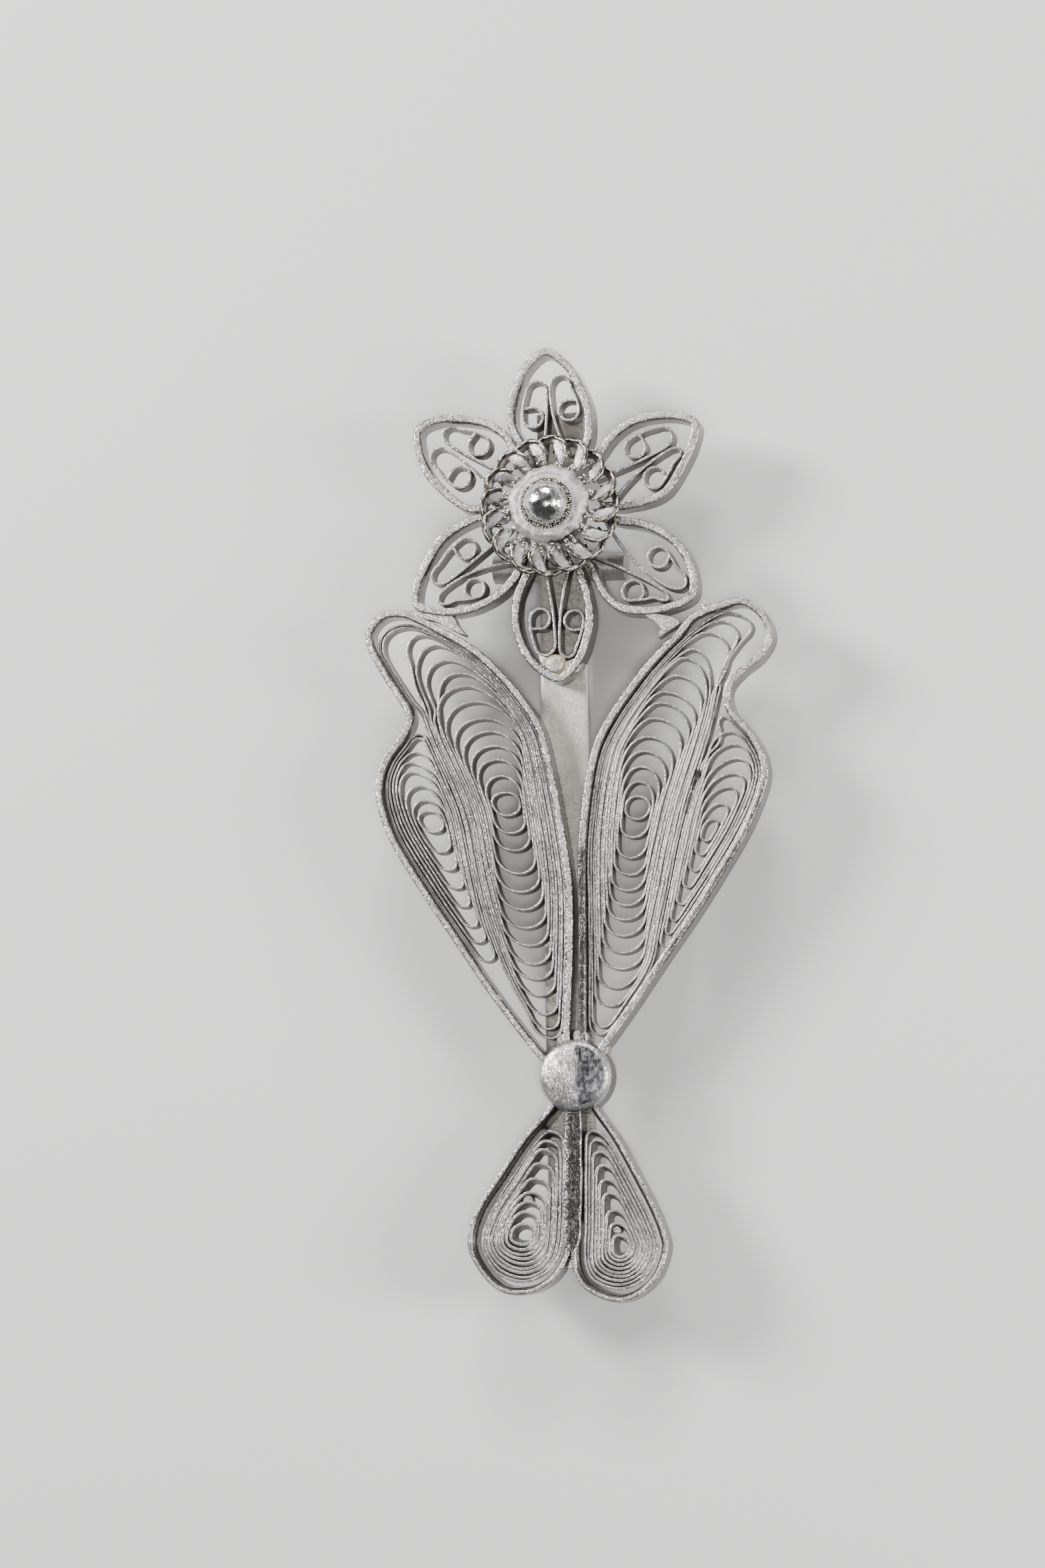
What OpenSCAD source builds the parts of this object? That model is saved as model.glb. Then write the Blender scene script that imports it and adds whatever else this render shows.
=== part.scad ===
// Filigree saree pin, lying on its back: flower, two leaves, waist button and tail on a strip, with a
// pin and a catch behind it. Millimetres, +Z up, +Y from the tail to the flower.

/* [Heights] */
// Underside of the back strip above the surface that the pin's hardware rests on
strip_lift = 3.4; // [3.2:0.1:4]
// Thickness of the back strip
strip_thick = 0.6; // [0.5:0.05:0.7]
// Height of the frame wires of petals, leaves and tail
frame_h = 1.85; // [1.8:0.05:2.1]
// Height of the coil ribbons
coil_h = 1.25; // [1:0.05:1.3]
// How far the coils lie below the top of their frame
coil_recess = 0.5; // [0.4:0.05:0.55]
// Height of the scroll ribbons
scroll_h = 1.5; // [1.2:0.1:1.6]

/* [Wires] */
// Thickness of the petal frames
petal_wire = 0.6; // [0.5:0.05:0.65]
// Thickness of the leaf frames
leaf_wire = 0.55; // [0.45:0.05:0.6]
// Thickness of the tail frames
tail_wire = 0.7; // [0.6:0.05:0.75]
// Thickness of the scroll ribbons
scroll_wire = 0.24; // [0.2:0.02:0.26]
// Thickness of the coil ribbons
coil_wire = 0.18; // [0.16:0.01:0.2]

/* [Rosette] */
// Number of loops round the rosette
loops = 16; // [14:1:17]
// Radius of the circle that the loops are strung along
loop_ring_r = 4.05; // [3.95:0.05:4.15]
// Half length of one loop, outwards from the rosette's middle
loop_r = 1.25; // [1.2:0.05:1.3]
// Half width of one loop, along the ring
loop_half_w = 0.95; // [0.9:0.05:1.1]
// Thickness of the loop wire
loop_wire = 0.34; // [0.3:0.02:0.36]
// Outer radius of the collar's flange
collar_r = 2.85; // [2.7:0.05:3]
// Diameter of the polished ball
ball_d = 3.6; // [3.4:0.05:3.7]

/* [Waist button] */
// Diameter of the button
button_d = 5.5; // [5.3:0.1:5.6]
// Height of the button's straight wall
button_wall = 2; // [1.8:0.1:2.2]
// Rise of its dome
button_dome = 0.6; // [0.4:0.1:0.8]

/* [Strip and pin] */
// Width of the back strip
strip_w = 3.7; // [3.4:0.1:3.8]
// Length of the back strip
strip_l = 61.3; // [60.5:0.1:61.5]
// Diameter of the pin's stem
stem_d = 1; // [0.9:0.05:1.1]
// Diameter of the cross bar that the stem is fixed to
bar_d = 2.2; // [2:0.1:2.4]
// Length of the cross bar
bar_l = 10.3; // [9:0.1:11]
// Length of the catch along the strip
catch_l = 7; // [6:0.5:8]

/* [Hidden] */
gap = 0.05;
fine = 48;
mid = [0.02, 0.15];
frame_z = strip_lift + strip_thick + gap;
frame_top = frame_z + frame_h;
coil_z = frame_top - coil_recess - coil_h;
scroll_recess = 0.25;
scroll_z = frame_top - scroll_recess - scroll_h;
strip_lean = 1.75;
strip_mid = [-0.27, 0.77];
button_at = [1.15, -19.25];
rosette_at = [-1.25, 23.7];
loop_z = frame_top + 0.75;

// Flower: middle of the six petals, and how far from it their frames begin
flower_at = [-1.4, 23.8];
petal_root = 3.2;
// Where the half widths of a petal are given, in shares of its reach
STATIONS = [0.36, 0.5, 0.64, 0.78, 0.91];
// name, angle, angle of the seam to the next petal, reach, how far to the left the tip stands, half widths
// at the stations on the left, half widths on the right
PETALS = [
    ["top", 91.6, 119.2, 12.4, 0.3, [3.0, 3.25, 3.25, 2.8, 1.95], [3.2, 3.4, 3.2, 2.5, 1.45]],
    ["upper_left", 146.8, 183, 12.6, 0.35, [3.65, 3.8, 3.6, 3.1, 1.95], [3.0, 3.1, 3.05, 2.35, 1.35]],
    ["lower_left", 216.7, 246.8, 12.95, -0.35, [2.8, 3.2, 3.1, 2.5, 1.3], [3.2, 3.6, 3.6, 2.9, 1.95]],
    ["bottom", 273.2, 299.5, 13.5, 0.1, [2.3, 2.8, 3.0, 2.6, 1.75], [2.55, 3.2, 3.35, 2.9, 1.85]],
    ["lower_right", 329, 355, 13.4, -0.4, [1.9, 2.6, 2.85, 2.55, 1.5], [2.5, 3.7, 4.25, 3.6, 2.3]],
    ["upper_right", 28.2, 57, 13, 0.1, [1.9, 2.75, 3.0, 2.55, 1.6], [3.0, 3.6, 3.7, 2.75, 1.5]],
];
// Scrolls: petal, side of the petal's axis, stem_v, neck_u, neck_v, turn_u, turn_v, curl_u, curl_v, curl_r.
// u runs out along the petal's axis and v across it; the stem runs to the neck, turns outwards round
// (neck_u, turn_v) and comes back to the curl
SCROLLS = [
    [0, 1, 0.5, 9.1, 0.2, 9.85, 1.0, 7.05, 1.33, 0.78],
    [0, -1, -1.15, 9.2, -0.05, 10.2, -0.85, 7.45, -1.5, 0.8],
    [1, -1, -0.3, 9.5, 0.1, 10.55, -0.6, 7.57, -1.08, 0.82],
    [1, 1, 1.3, 9.4, 0.5, 10.4, 1.3, 7.42, 1.75, 0.83],
    [2, -1, -0.6, 9.5, -0.4, 10.6, -1.15, 7.08, -1.6, 0.8],
    [2, 1, 1.7, 10.1, -0.1, 11.15, 0.5, 8.33, 1.35, 0.78],
    [3, -1, -0.7, 10.4, -0.08, 11.3, -0.9, 8.48, -1.2, 0.78],
    [3, 1, 1.25, 10.9, 0.22, 11.6, 0.85, 8.8, 1.42, 0.76],
    [4, 1, 0.9, 10.9, -0.8, 12.2, 0.0, 9.25, 0.8, 0.8],
    [4, -1, -1.65, 10.6, -1.15, 11.6, -1.55, 8.92, -2.35, 0.83],
    [5, 1, 0.1, 9.8, -0.35, 10.75, 0.5, 7.77, 0.8, 0.8],
    [5, -1, -1.9, 9.9, -0.65, 10.75, -1.15, 7.98, -2.0, 0.83],
];

// Outer edges of the frames: x, y of the points that their smooth curve passes through
LEAF_LEFT = [
    [-12.9, 16.2], [-14.6, 16.0], [-15.7, 14.8], [-15.5, 13.2], [-14.4, 11.2], [-13.2, 9.4], [-12.4, 8.0],
    [-13.0, 6.5], [-14.1, 5.0], [-14.7, 3.2], [-14.5, 1.1], [-13.4, -1.7], [-10.9, -5.6], [-8.5, -9.0],
    [-5.6, -13.1], [-1.9, -17.7], [-0.6, -18.6], [0.5, -17.4], [0.7, -15.0], [0.8, -10.0], [0.7, -5.2],
    [0.2, -1.7], [-0.5, 1.9], [-1.0, 4.2], [-1.8, 7.0], [-3.5, 9.6], [-5.9, 12.2], [-7.7, 13.6],
    [-9.6, 14.7], [-11.1, 15.5],
];
LEAF_RIGHT = [
    [13.5, 16.4], [11.6, 16.1], [9.6, 15.3], [8.3, 13.9], [6.6, 12.2], [4.5, 9.6], [2.6, 6.6], [1.8, 4.2],
    [1.3, 0.6], [1.1, -2.9], [1.2, -7.6], [1.3, -12.2], [1.35, -15.5], [1.6, -17.5], [2.5, -18.4],
    [3.6, -17.0], [5.6, -14.2], [7.95, -10.7], [10.1, -7.6], [12.2, -4.3], [14.2, -0.8], [15.4, 2.4],
    [15.3, 4.4], [14.3, 6.3], [12.9, 7.9], [12.6, 9.4], [13.5, 10.6], [15.0, 11.8], [15.8, 13.4],
    [15.2, 15.2],
];
TAIL_LEFT = [
    [0.0, -20.2], [-0.9, -21.6], [-2.9, -23.9], [-4.7, -26.6], [-6.2, -28.9], [-6.9, -31.1], [-6.6, -32.7],
    [-5.4, -34.4], [-4.1, -35.3], [-2.6, -35.4], [-1.2, -35.0], [0.2, -33.8], [1.0, -31.8], [1.15, -28.0],
    [1.1, -24.0], [1.0, -21.0],
];
TAIL_RIGHT = [
    [2.2, -20.3], [2.9, -21.6], [4.5, -23.8], [6.0, -26.4], [7.3, -28.8], [8.1, -30.7], [8.3, -32.1],
    [7.6, -34.1], [6.2, -35.4], [4.7, -35.9], [3.2, -35.6], [1.8, -34.7], [1.05, -33.0], [1.05, -30.0],
    [1.0, -26.0], [1.0, -22.5], [1.1, -20.8],
];
// Where the inner and the outer coil of a leaf meet: x, y, from the notch to the tip
MEET_LEFT = [
    [-11.5, 8.3], [-10.6, 6.0], [-9.65, 4.0], [-8.6, 1.7], [-7.9, -0.3], [-7.1, -4.0], [-6.0, -8.0],
    [-4.3, -12.0], [-2.9, -14.5], [-1.5, -17.5],
];
MEET_RIGHT = [
    [11.7, 9.3], [11.2, 7.0], [10.3, 4.0], [9.35, 1.0], [8.65, -2.0], [8.05, -5.0], [7.35, -8.6],
    [6.9, -10.8], [6.0, -12.6], [5.0, -14.2], [3.0, -17.5],
];
// Coils: name, loops, loops laid against the frame at the top, highest arc, top and bottom of the innermost
// ring, lowest arc, loops laid together at the bottom, spacing of the loops on the left and on the right,
// how far the ends of the upper arcs hang down left and right, and of the lower arcs, in widths of the arc,
// and how far over the crowns stand, 0.5 in the middle
COILS = [
    ["left_inner", 14, 3, 13.5, 2.1, 0.2, -15.8, 1, 0.175, 0.185, 0.8, 0.5, 0.45, 0.45, 0.42, 0.5],
    ["left_outer", 8, 0, 6.3, 0.5, -1.1, -10.5, 1, 0.29, 0.17, 0.5, 0.8, 0.5, 0.5, 0.45, 0.5],
    ["right_inner", 14, 1, 15.0, 1.8, 0, -15.6, 1, 0.2, 0.2, 0.5, 0.8, 0.45, 0.45, 0.55, 0.5],
    ["right_outer", 8, 0, 7.8, 0, -1.7, -8.6, 2, 0.2, 0.23, 0.7, 0.5, 0.4, 0.4, 0.6, 0.5],
    ["tail_left", 8, 0, -23.6, -30.2, -31.7, -34.4, 8, 0.28, 0.29, 0.5, 0.6, 0.5, 0.5, 0.5, 0.5],
    ["tail_right", 9, 0, -23.1, -30.8, -32.5, -34.9, 9, 0.24, 0.26, 0.5, 0.6, 0.5, 0.5, 0.5, 0.5],
];

// Curves

// One span of a smooth curve from b to c
function span(a, b, c, d, t) = 0.5 * (2 * b + (c - a) * t + (2 * a - 5 * b + 4 * c - d) * t * t
    + (3 * b - a - 3 * c + d) * t * t * t);
function closed_curve(p, steps) = let (n = len(p))
    [for (i = [0 : n - 1], s = [0 : steps - 1])
        span(p[(i + n - 1) % n], p[i], p[(i + 1) % n], p[(i + 2) % n], s / steps)];
function open_curve(p, steps) = let (n = len(p))
    [for (i = [0 : n - 2], s = [0 : steps - (i == n - 2 ? 0 : 1)])
        span(p[max(i - 1, 0)], p[i], p[i + 1], p[min(i + 2, n - 1)], s / steps)];
function unit(v) = v / norm(v);
function left_of(v) = [-v.y, v.x];
function turned(p) = let (n = len(p))
    sign([for (i = 0, s = 0; i <= n; s = s + cross(p[i % n], p[(i + 1) % n]), i = i + 1) s][n]);
// A closed curve moved inwards by d
function inset(p, d) = let (n = len(p), side = turned(p))
    [for (i = [0 : n - 1]) p[i] + side * d * left_of(unit(p[(i + 1) % n] - p[(i + n - 1) % n]))];
// The same without the points under the button, where the sides come together
under_rim = 0.2;
function room(p, d) = [for (q = inset(p, d)) if (norm(q - button_at) > button_d / 2 - under_rim) q];
// An open line moved sideways by d
function beside(p, d) = let (n = len(p))
    [for (i = [0 : n - 1]) p[i] + d * left_of(unit(p[min(i + 1, n - 1)] - p[max(i - 1, 0)]))];
function reversed(p) = [for (i = [len(p) - 1 : -1 : 0]) p[i]];
// The two edges of a ribbon of thickness t along an open line, as one outline
function ribbon(p, t) = concat(beside(p, t / 2), reversed(beside(p, -t / 2)));
// A quarter turn from p, leaving along tp, to q, arriving along tq
function quarter_turn(p, tp, q, tq, steps) = let (
    d = norm(q - p), det = cross(tp, -tq),
    a = abs(det) > 0.2 ? cross(q - p, -tq) / det : 0.7 * d,
    b = abs(det) > 0.2 ? abs(cross(tp, q - p) / det) : 0.7 * d,
    c1 = p + tp * 0.56 * min(max(a, 0.2 * d), 1.1 * d),
    c2 = q - tq * 0.56 * min(max(b, 0.2 * d), 1.1 * d))
    [for (i = [0 : steps]) let (t = i / steps, s = 1 - t)
        s * s * s * p + 3 * s * s * t * c1 + 3 * s * t * t * c2 + t * t * t * q];

// Petals

// A point of a petal, u out along its axis and v across it
function in_petal(p, u, v) = flower_at + [u * cos(p[1]) - v * sin(p[1]), u * sin(p[1]) + v * cos(p[1])];
// The sides of a petal, kept off the seams to its neighbours by d. The edge runs from the left of the root
// round the tip
function turn_to(p, seam) = abs((seam - p[1] + 540) % 360 - 180);
function within(i, q, d) = let (
    p = PETALS[i], before = PETALS[(i + len(PETALS) - 1) % len(PETALS)],
    up = turn_to(p, p[2]), down = turn_to(p, before[2]))
    [q.x, max(d / cos(down) - q.x * tan(down), min(q.x * tan(up) - d / cos(up), q.y))];
function petal_edge(i) = let (
    p = PETALS[i], reach = p[3], n = len(STATIONS),
    edge = concat(
        [[petal_root, p[5][0]]], [for (j = [0 : n - 1]) [reach * STATIONS[j], p[5][j]]],
        [[reach, p[4]]],
        [for (j = [n - 1 : -1 : 0]) [reach * STATIONS[j], -p[6][j]]], [[petal_root, -p[6][0]]]))
    [for (q = open_curve(edge, 4)) within(i, q, gap)];
// The room inside a petal's frame, which has a cross wall at its root
function petal_room(i) = let (
    p = PETALS[i], root = petal_root + petal_wire, inside = inset(petal_edge(i), petal_wire),
    left_foot = within(i, [root, p[5][0]], gap + petal_wire),
    right_foot = within(i, [root, -p[6][0]], gap + petal_wire))
    concat([left_foot], [for (q = inside) if (q.x > root + 0.1) q], [right_foot]);

module frame(edge, inside) {
    translate([0, 0, frame_z]) linear_extrude(frame_h) difference() {
        polygon(edge);
        polygon(inside);
    }
}

module petal(i) {
    color("silver") frame(
        [for (q = petal_edge(i)) in_petal(PETALS[i], q.x, q.y)],
        [for (q = petal_room(i)) in_petal(PETALS[i], q.x, q.y)]);
}

// Centre line of one scroll, from its foot under the rosette to the end of its curl
scroll_foot = 4.6;
function scroll_line(r) = let (
    p = PETALS[r[0]], side = r[1], neck_u = r[3], neck_v = r[4], turn_u = r[5], turn_v = r[6],
    curl_u = r[7], curl_v = r[8], curl_r = r[9],
    uv = concat(
        [for (i = [0 : 5]) let (t = i / 6)
            [scroll_foot + (neck_u - scroll_foot) * t, r[2] + (neck_v - r[2]) * (1 - (1 - t) * (1 - t))]],
        [for (i = [0 : 8]) let (a = 180 * i / 8)
            [neck_u + (turn_u - neck_u) * sin(a), turn_v - (turn_v - neck_v) * cos(a)]],
        [for (i = [0 : 13]) let (a = 90 + 262 * i / 13)
            [curl_u + curl_r * cos(a), curl_v + side * curl_r * sin(a)]]))
    [for (q = uv) in_petal(p, q.x, q.y)];

// Two scrolls, soldered to each other at their necks
neck_solder = [0.6, 0.3];
module scrolls(i) {
    rows = [for (r = SCROLLS) if (r[0] == i) r];
    neck = [rows[0][3] + rows[1][3], rows[0][4] + rows[1][4]] / 2;
    color("gainsboro") translate([0, 0, scroll_z]) union() {
        for (r = rows) linear_extrude(scroll_h) polygon(ribbon(scroll_line(r), scroll_wire));
        translate(in_petal(PETALS[i], neck.x - neck_solder[1], neck.y))
            cylinder(d = neck_solder[0], h = scroll_h, $fn = 12);
    }
}

// Coils

function highest(p) = let (top = max([for (q = p) q.y]))
    [for (i = [0 : len(p) - 1]) if (p[i].y == top) i][0];
function lowest(p) = let (low = min([for (q = p) q.y]))
    [for (i = [0 : len(p) - 1]) if (p[i].y == low) i][0];
// Points of a closed curve from its highest to its lowest, one way round, as far as they run downwards
function way_down(p, dir) = let (n = len(p), from = highest(p), count = (dir * (lowest(p) - from) + n) % n,
    run = [for (i = [0 : count]) p[(from + dir * i + n) % n]])
    [for (i = 0, low = run[0].y + 1; i <= count; low = min(low, run[i].y), i = i + 1)
        if (run[i].y < low - 0.005) run[i]];
// The left and the right side of the room inside a frame
function sides(edge, wire) = let (
    inside = room(edge, wire + gap), a = way_down(inside, 1), b = way_down(inside, -1),
    a_left = a[floor(len(a) / 2)].x < b[floor(len(b) / 2)].x)
    a_left ? [a, b] : [b, a];
function above(p, y) = [for (q = p) if (q.y > y) q];
function below(p, y) = [for (q = p) if (q.y < y) q];

leaf_left = closed_curve(LEAF_LEFT, 5);
leaf_right = closed_curve(LEAF_RIGHT, 5);
tail_left = closed_curve(TAIL_LEFT, 5);
tail_right = closed_curve(TAIL_RIGHT, 5);
room_left = sides(leaf_left, leaf_wire);
room_right = sides(leaf_right, leaf_wire);
meet_left = open_curve(MEET_LEFT, 4);
meet_right = open_curve(MEET_RIGHT, 4);
// A side as a table for lookup()
function by_height(p) = [for (q = p) [q.y, q.x]];
// The line between two coils, moved by dx, and kept on the right (1) or the left (-1) of the frame's side
// where the outer coil has ended
function met(line, dx, side, way) = let (wall = by_height(side))
    [for (q = line) let (x = lookup(q.y, wall)) [way > 0 ? max(q.x + dx, x) : min(q.x + dx, x), q.y]];
notch_left = MEET_LEFT[0].y;
notch_right = MEET_RIGHT[0].y;
// How far from the notch the inner coil leaves the frame's side and the outer coil takes it up
notch_above = 0.3;
notch_below = 0.1;
// Left and right side of each coil's room, in the order of COILS
ROOMS = [
    [concat(above(room_left[0], notch_left + notch_above), met(meet_left, gap / 2, room_left[0], 1)),
     room_left[1]],
    [below(room_left[0], notch_left - notch_below), met(meet_left, -gap / 2, room_left[0], 1)],
    [room_right[0],
     concat(above(room_right[1], notch_right + notch_above), met(meet_right, -gap / 2, room_right[1], -1))],
    [met(meet_right, gap / 2, room_right[1], -1), below(room_right[1], notch_right - notch_below)],
    sides(tail_left, tail_wire),
    sides(tail_right, tail_wire),
];
// How steeply a side leans
function lean(side, y) = let (s = (lookup(y + 0.2, side) - lookup(y - 0.2, side)) / 0.4)
    sqrt(1 + min(s * s, 4));

// A coil is its row of COILS, its two sides, and the height of its room
function coil(i) = [COILS[i], by_height(ROOMS[i][0]), by_height(ROOMS[i][1]),
    min(ROOMS[i][0][0].y, ROOMS[i][1][0].y)];
// The two sides at height y, o loops in from the frame
function left_at(c, o, y) = [lookup(y, c[1]) + o * c[0][8] * lean(c[1], y), y];
function right_at(c, o, y) = [lookup(y, c[2]) - o * c[0][9] * lean(c[2], y), y];
// Heights of the crowns of loop k, a little uneven as bent by hand. Loops laid together follow each other
// at packed_step, the first of the lower ones packed_drop under the lowest arc
packed_step = 0.2;
packed_drop = 0.9;
function uneven(c, k, by) = 0.12 * sin(by * k + 40 * c[0][1]);
function crown_top(c, k) = let (r = c[0], packed = r[2], last = r[1] - 1)
    k < packed ? c[3] - (k + 0.5) * packed_step
    : r[3] + (r[4] - r[3]) * (k - packed) / (last - packed) + uneven(c, k, 132);
function crown_bottom(c, k) = let (r = c[0], packed = r[7], last = r[1] - 1)
    packed > last ? r[6] + (r[5] - r[6]) * k / last
    : k < packed ? r[6] - packed_drop + k * packed_step
    : r[6] + (r[5] - r[6]) * (k - packed) / (last - packed) + uneven(c, k, 97);
// A point kept between the two sides, o loops in
function kept_in(c, o, q) = let (l = left_at(c, o, q.y).x, r = right_at(c, o, q.y).x)
    [l > r ? (l + r) / 2 : min(max(q.x, l), r), q.y];
// The arc that closes loop k at its upper (s = 1) or lower (s = -1) end, from left to right, with its ends
// o loops in from the frame and its crown moved outwards by dy. An arc laid against the frame takes its
// width packed_shoulder below its crown
arc_steps = 6;
packed_shoulder = 0.8;
function arc(c, o, k, dy, s) = let (
    r = c[0], top = crown_top(c, k) + dy, low = crown_bottom(c, k) - dy, y = s > 0 ? top : low,
    yw = k < (s > 0 ? r[2] : r[7]) ? y - packed_shoulder * s : y,
    w = max(0.5, right_at(c, o, yw).x - left_at(c, o, yw).x),
    share = 0.92 * (top - low) / w,
    yl = y - s * w * (s > 0 ? r[10] : r[12]) * min(1, share / (r[10] + r[12])),
    yr = y - s * w * (s > 0 ? r[11] : r[13]) * min(1, share / (r[11] + r[13])),
    over = s > 0 ? r[14] : r[15],
    pl = left_at(c, o, yl), pr = right_at(c, o, yr),
    tl = unit(left_at(c, o, yl + 0.1 * s) - pl), tr = unit(right_at(c, o, yr + 0.1 * s) - pr),
    crown = [pl.x + (pr.x - pl.x) * over, y], along = unit([pr.x - pl.x, (pr.y - pl.y) / 2]),
    falling = quarter_turn(crown, along, pr, -tr, arc_steps))
    [for (q = concat(quarter_turn(pl, tl, crown, along, arc_steps), [for (i = [1 : arc_steps]) falling[i]]))
        kept_in(c, o, q)];
// Points of a side between two heights, running down
function side_run(side, high, low) =
    [for (q = side) if (q[0] < high - 0.02 && q[0] > low + 0.02) [q[1], q[0]]];
// The outer edge of the whole coil
function coil_edge(c) = let (
    half = coil_wire / 2, top = arc(c, 0, 0, half, 1), low = arc(c, 0, 0, half, -1), last = len(top) - 1)
    concat(top, side_run(c[2], top[last].y, low[last].y),
        reversed(low), reversed(side_run(c[1], top[0].y, low[0].y)));
// The hole in the innermost loop
function eye(c) = let (
    n = c[0][1], top = crown_top(c, n - 1) - coil_wire / 2, low = crown_bottom(c, n - 1) + coil_wire / 2,
    y = (top + low) / 2, x1 = left_at(c, n, y).x, x2 = right_at(c, n, y).x)
    [for (a = [0 : 20 : 340]) [(x1 + x2) / 2 + (x2 - x1) / 2 * sin(a), y + (top - low) / 2 * cos(a)]];
// The gap between the ribbons of loop k and of the next loop, where it is wider than thin_gap, taken at
// even turns about its middle: angle 0 is straight away from the coil's own middle
thin_gap = 0.12;
gap_steps = 16;
function polar(p, about, s) = [for (q = p) let (d = q - about) [atan2(d.x, s * d.y), norm(d)]];
function at_turn(about, a, table, s) = about + lookup(a, table) * [sin(a), s * cos(a)];
function gap_between(c, k, s) = let (
    half = s * coil_wire / 2,
    outer = beside(arc(c, k + 0.5, k, 0, s), -half), inner = beside(arc(c, k + 1.5, k + 1, 0, s), half),
    last = len(outer) - 1, about = (inner[0] + inner[last]) / 2,
    rim = concat([left_at(c, k + 1, inner[0].y)], outer, [right_at(c, k + 1, inner[last].y)]),
    far = polar(rim, about, s),
    near = polar(inner, about, s), from = near[0][0], to = near[last][0],
    turns = [for (i = [0 : gap_steps]) from + (to - from) * i / gap_steps],
    wide = [for (a = turns) if (lookup(a, far) - lookup(a, near) > thin_gap) a])
    concat([for (a = wide) at_turn(about, a, far, s)],
        reversed([for (a = wide) at_turn(about, a, near, s)]));

module coil_plate(i) {
    c = coil(i);
    n = c[0][1];
    color("gainsboro") translate([0, 0, coil_z]) linear_extrude(coil_h) difference() {
        polygon(coil_edge(c));
        polygon(eye(c));
        for (k = [max(c[0][2] - 1, 0) : n - 2]) polygon(gap_between(c, k, 1));
        if (c[0][7] < n) for (k = [c[0][7] - 1 : n - 2]) polygon(gap_between(c, k, -1));
    }
}

// Leaves, tail and waist

module under_button() {
    translate([button_at.x, button_at.y, frame_z - 1])
        cylinder(r = button_d / 2 + gap, h = frame_h + 2, $fn = fine);
}

module leaf_frame(edge) {
    color("silver") difference() {
        frame(edge, room(edge, leaf_wire));
        under_button();
    }
}

// Two teardrops, soldered to each other along a seam
seam_at = [0.92, -32.6];
seam = [0.3, 11];
module tail_frame() {
    color("silver") difference() {
        union() {
            frame(tail_left, room(tail_left, tail_wire));
            frame(tail_right, room(tail_right, tail_wire));
            translate([seam_at.x, seam_at.y, frame_z]) cube([seam.x, seam.y, frame_h]);
        }
        under_button();
    }
}

module waist_button() {
    r = button_d / 2;
    color("silver") translate([button_at.x, button_at.y, frame_z]) rotate_extrude($fn = fine)
        polygon(concat([[0, 0], [r, 0], [r, button_wall]],
            [for (a = [10 : 10 : 80]) [r * cos(a), button_wall + button_dome * sin(a)]],
            [[0, button_wall + button_dome]]));
}

// Rosette

// A closed wire round the rosette: each turn is a long loop that lies partly over the next one, clockwise
loop_rise = 0.42;
ring_steps = 14;
ring_sides = 6;
function loop_point(t) = let (
    turn = 360 * t * loops, r = loop_ring_r + loop_r * cos(turn),
    a = 360 * t + loop_half_w * sin(turn) / loop_ring_r * 180 / PI)
    [r * cos(a), r * sin(a), -loop_rise * sin(turn)];
module rosette_loops() {
    n = loops * ring_steps;
    centre = [for (i = [0 : n - 1]) loop_point(i / n)];
    dir = [for (i = [0 : n - 1]) unit(centre[(i + 1) % n] - centre[(i + n - 1) % n])];
    skin = [for (i = [0 : n - 1]) let (side = unit(cross(dir[i], [0, 0, 1])), up = cross(side, dir[i]))
        for (j = [0 : ring_sides - 1]) let (a = 360 * (j + 0.5) / ring_sides)
            centre[i] + loop_wire / 2 * (side * cos(a) + up * sin(a))];
    m = ring_sides;
    color("silver") translate([rosette_at.x, rosette_at.y, loop_z]) polyhedron(skin,
        [for (i = [0 : n - 1], j = [0 : m - 1]) let (k = (i + 1) % n, l = (j + 1) % m)
            [i * m + j, i * m + l, k * m + l, k * m + j]], 10);
}

// A post with a cup for the ball, which half stands out of it, and a flange over the inner ends of the
// loops
collar_top = loop_z + 1.2;
flange_h = 0.5;
post_r = loop_ring_r - loop_r - loop_wire / 2 - gap;
cup_r = ball_d / 2 + gap;
ball_z = collar_top - 0.25;
module rosette_collar() {
    seat = ball_z - ball_d / 2 - gap;
    flange_z = collar_top - flange_h;
    color("gainsboro") translate([rosette_at.x, rosette_at.y, 0]) rotate_extrude($fn = fine)
        polygon([[0, frame_z], [post_r, frame_z], [post_r, flange_z], [collar_r - 0.15, flange_z],
            [collar_r, flange_z + 0.2], [collar_r - 0.1, collar_top - 0.1], [collar_r - 0.3, collar_top],
            [cup_r + 0.15, collar_top], [cup_r, collar_top - 0.15], [cup_r, seat], [0, seat]]);
}
module rosette_ball() {
    color("white") translate([rosette_at.x, rosette_at.y, ball_z]) sphere(d = ball_d, $fn = fine);
}

// Strip, pin and catch

module back_strip() {
    color("wheat") translate([strip_mid.x, strip_mid.y, strip_lift]) rotate(strip_lean)
        translate([-strip_w / 2, -strip_l / 2, 0]) cube([strip_w, strip_l, strip_thick]);
}

// Cross bar, the block that holds it under the strip, and the stem with its point
bar_at = [-1.65, 20];
block_x = -0.86;
block_w = 3.2;
block_l = 1.8;
stem_x = -0.1;
stem_z = 1.2;
stem_l = 52;
point_l = 4;
point_d = 0.25;
module pin() {
    color("silver") union() {
        translate([bar_at.x, bar_at.y, bar_d / 2]) rotate([0, 90, 0])
            cylinder(d = bar_d, h = bar_l, center = true, $fn = fine);
        translate([block_x - block_w / 2, bar_at.y - block_l / 2, bar_d / 2])
            cube([block_w, block_l, strip_lift - gap - bar_d / 2]);
        translate([stem_x, bar_at.y, stem_z]) rotate([90, 0, 0])
            cylinder(d = stem_d, h = stem_l - point_l, $fn = fine / 2);
        translate([stem_x, bar_at.y - stem_l + point_l, stem_z]) rotate([90, 0, 0])
            cylinder(d1 = stem_d, d2 = point_d, h = point_l, $fn = fine / 2);
    }
}

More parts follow.
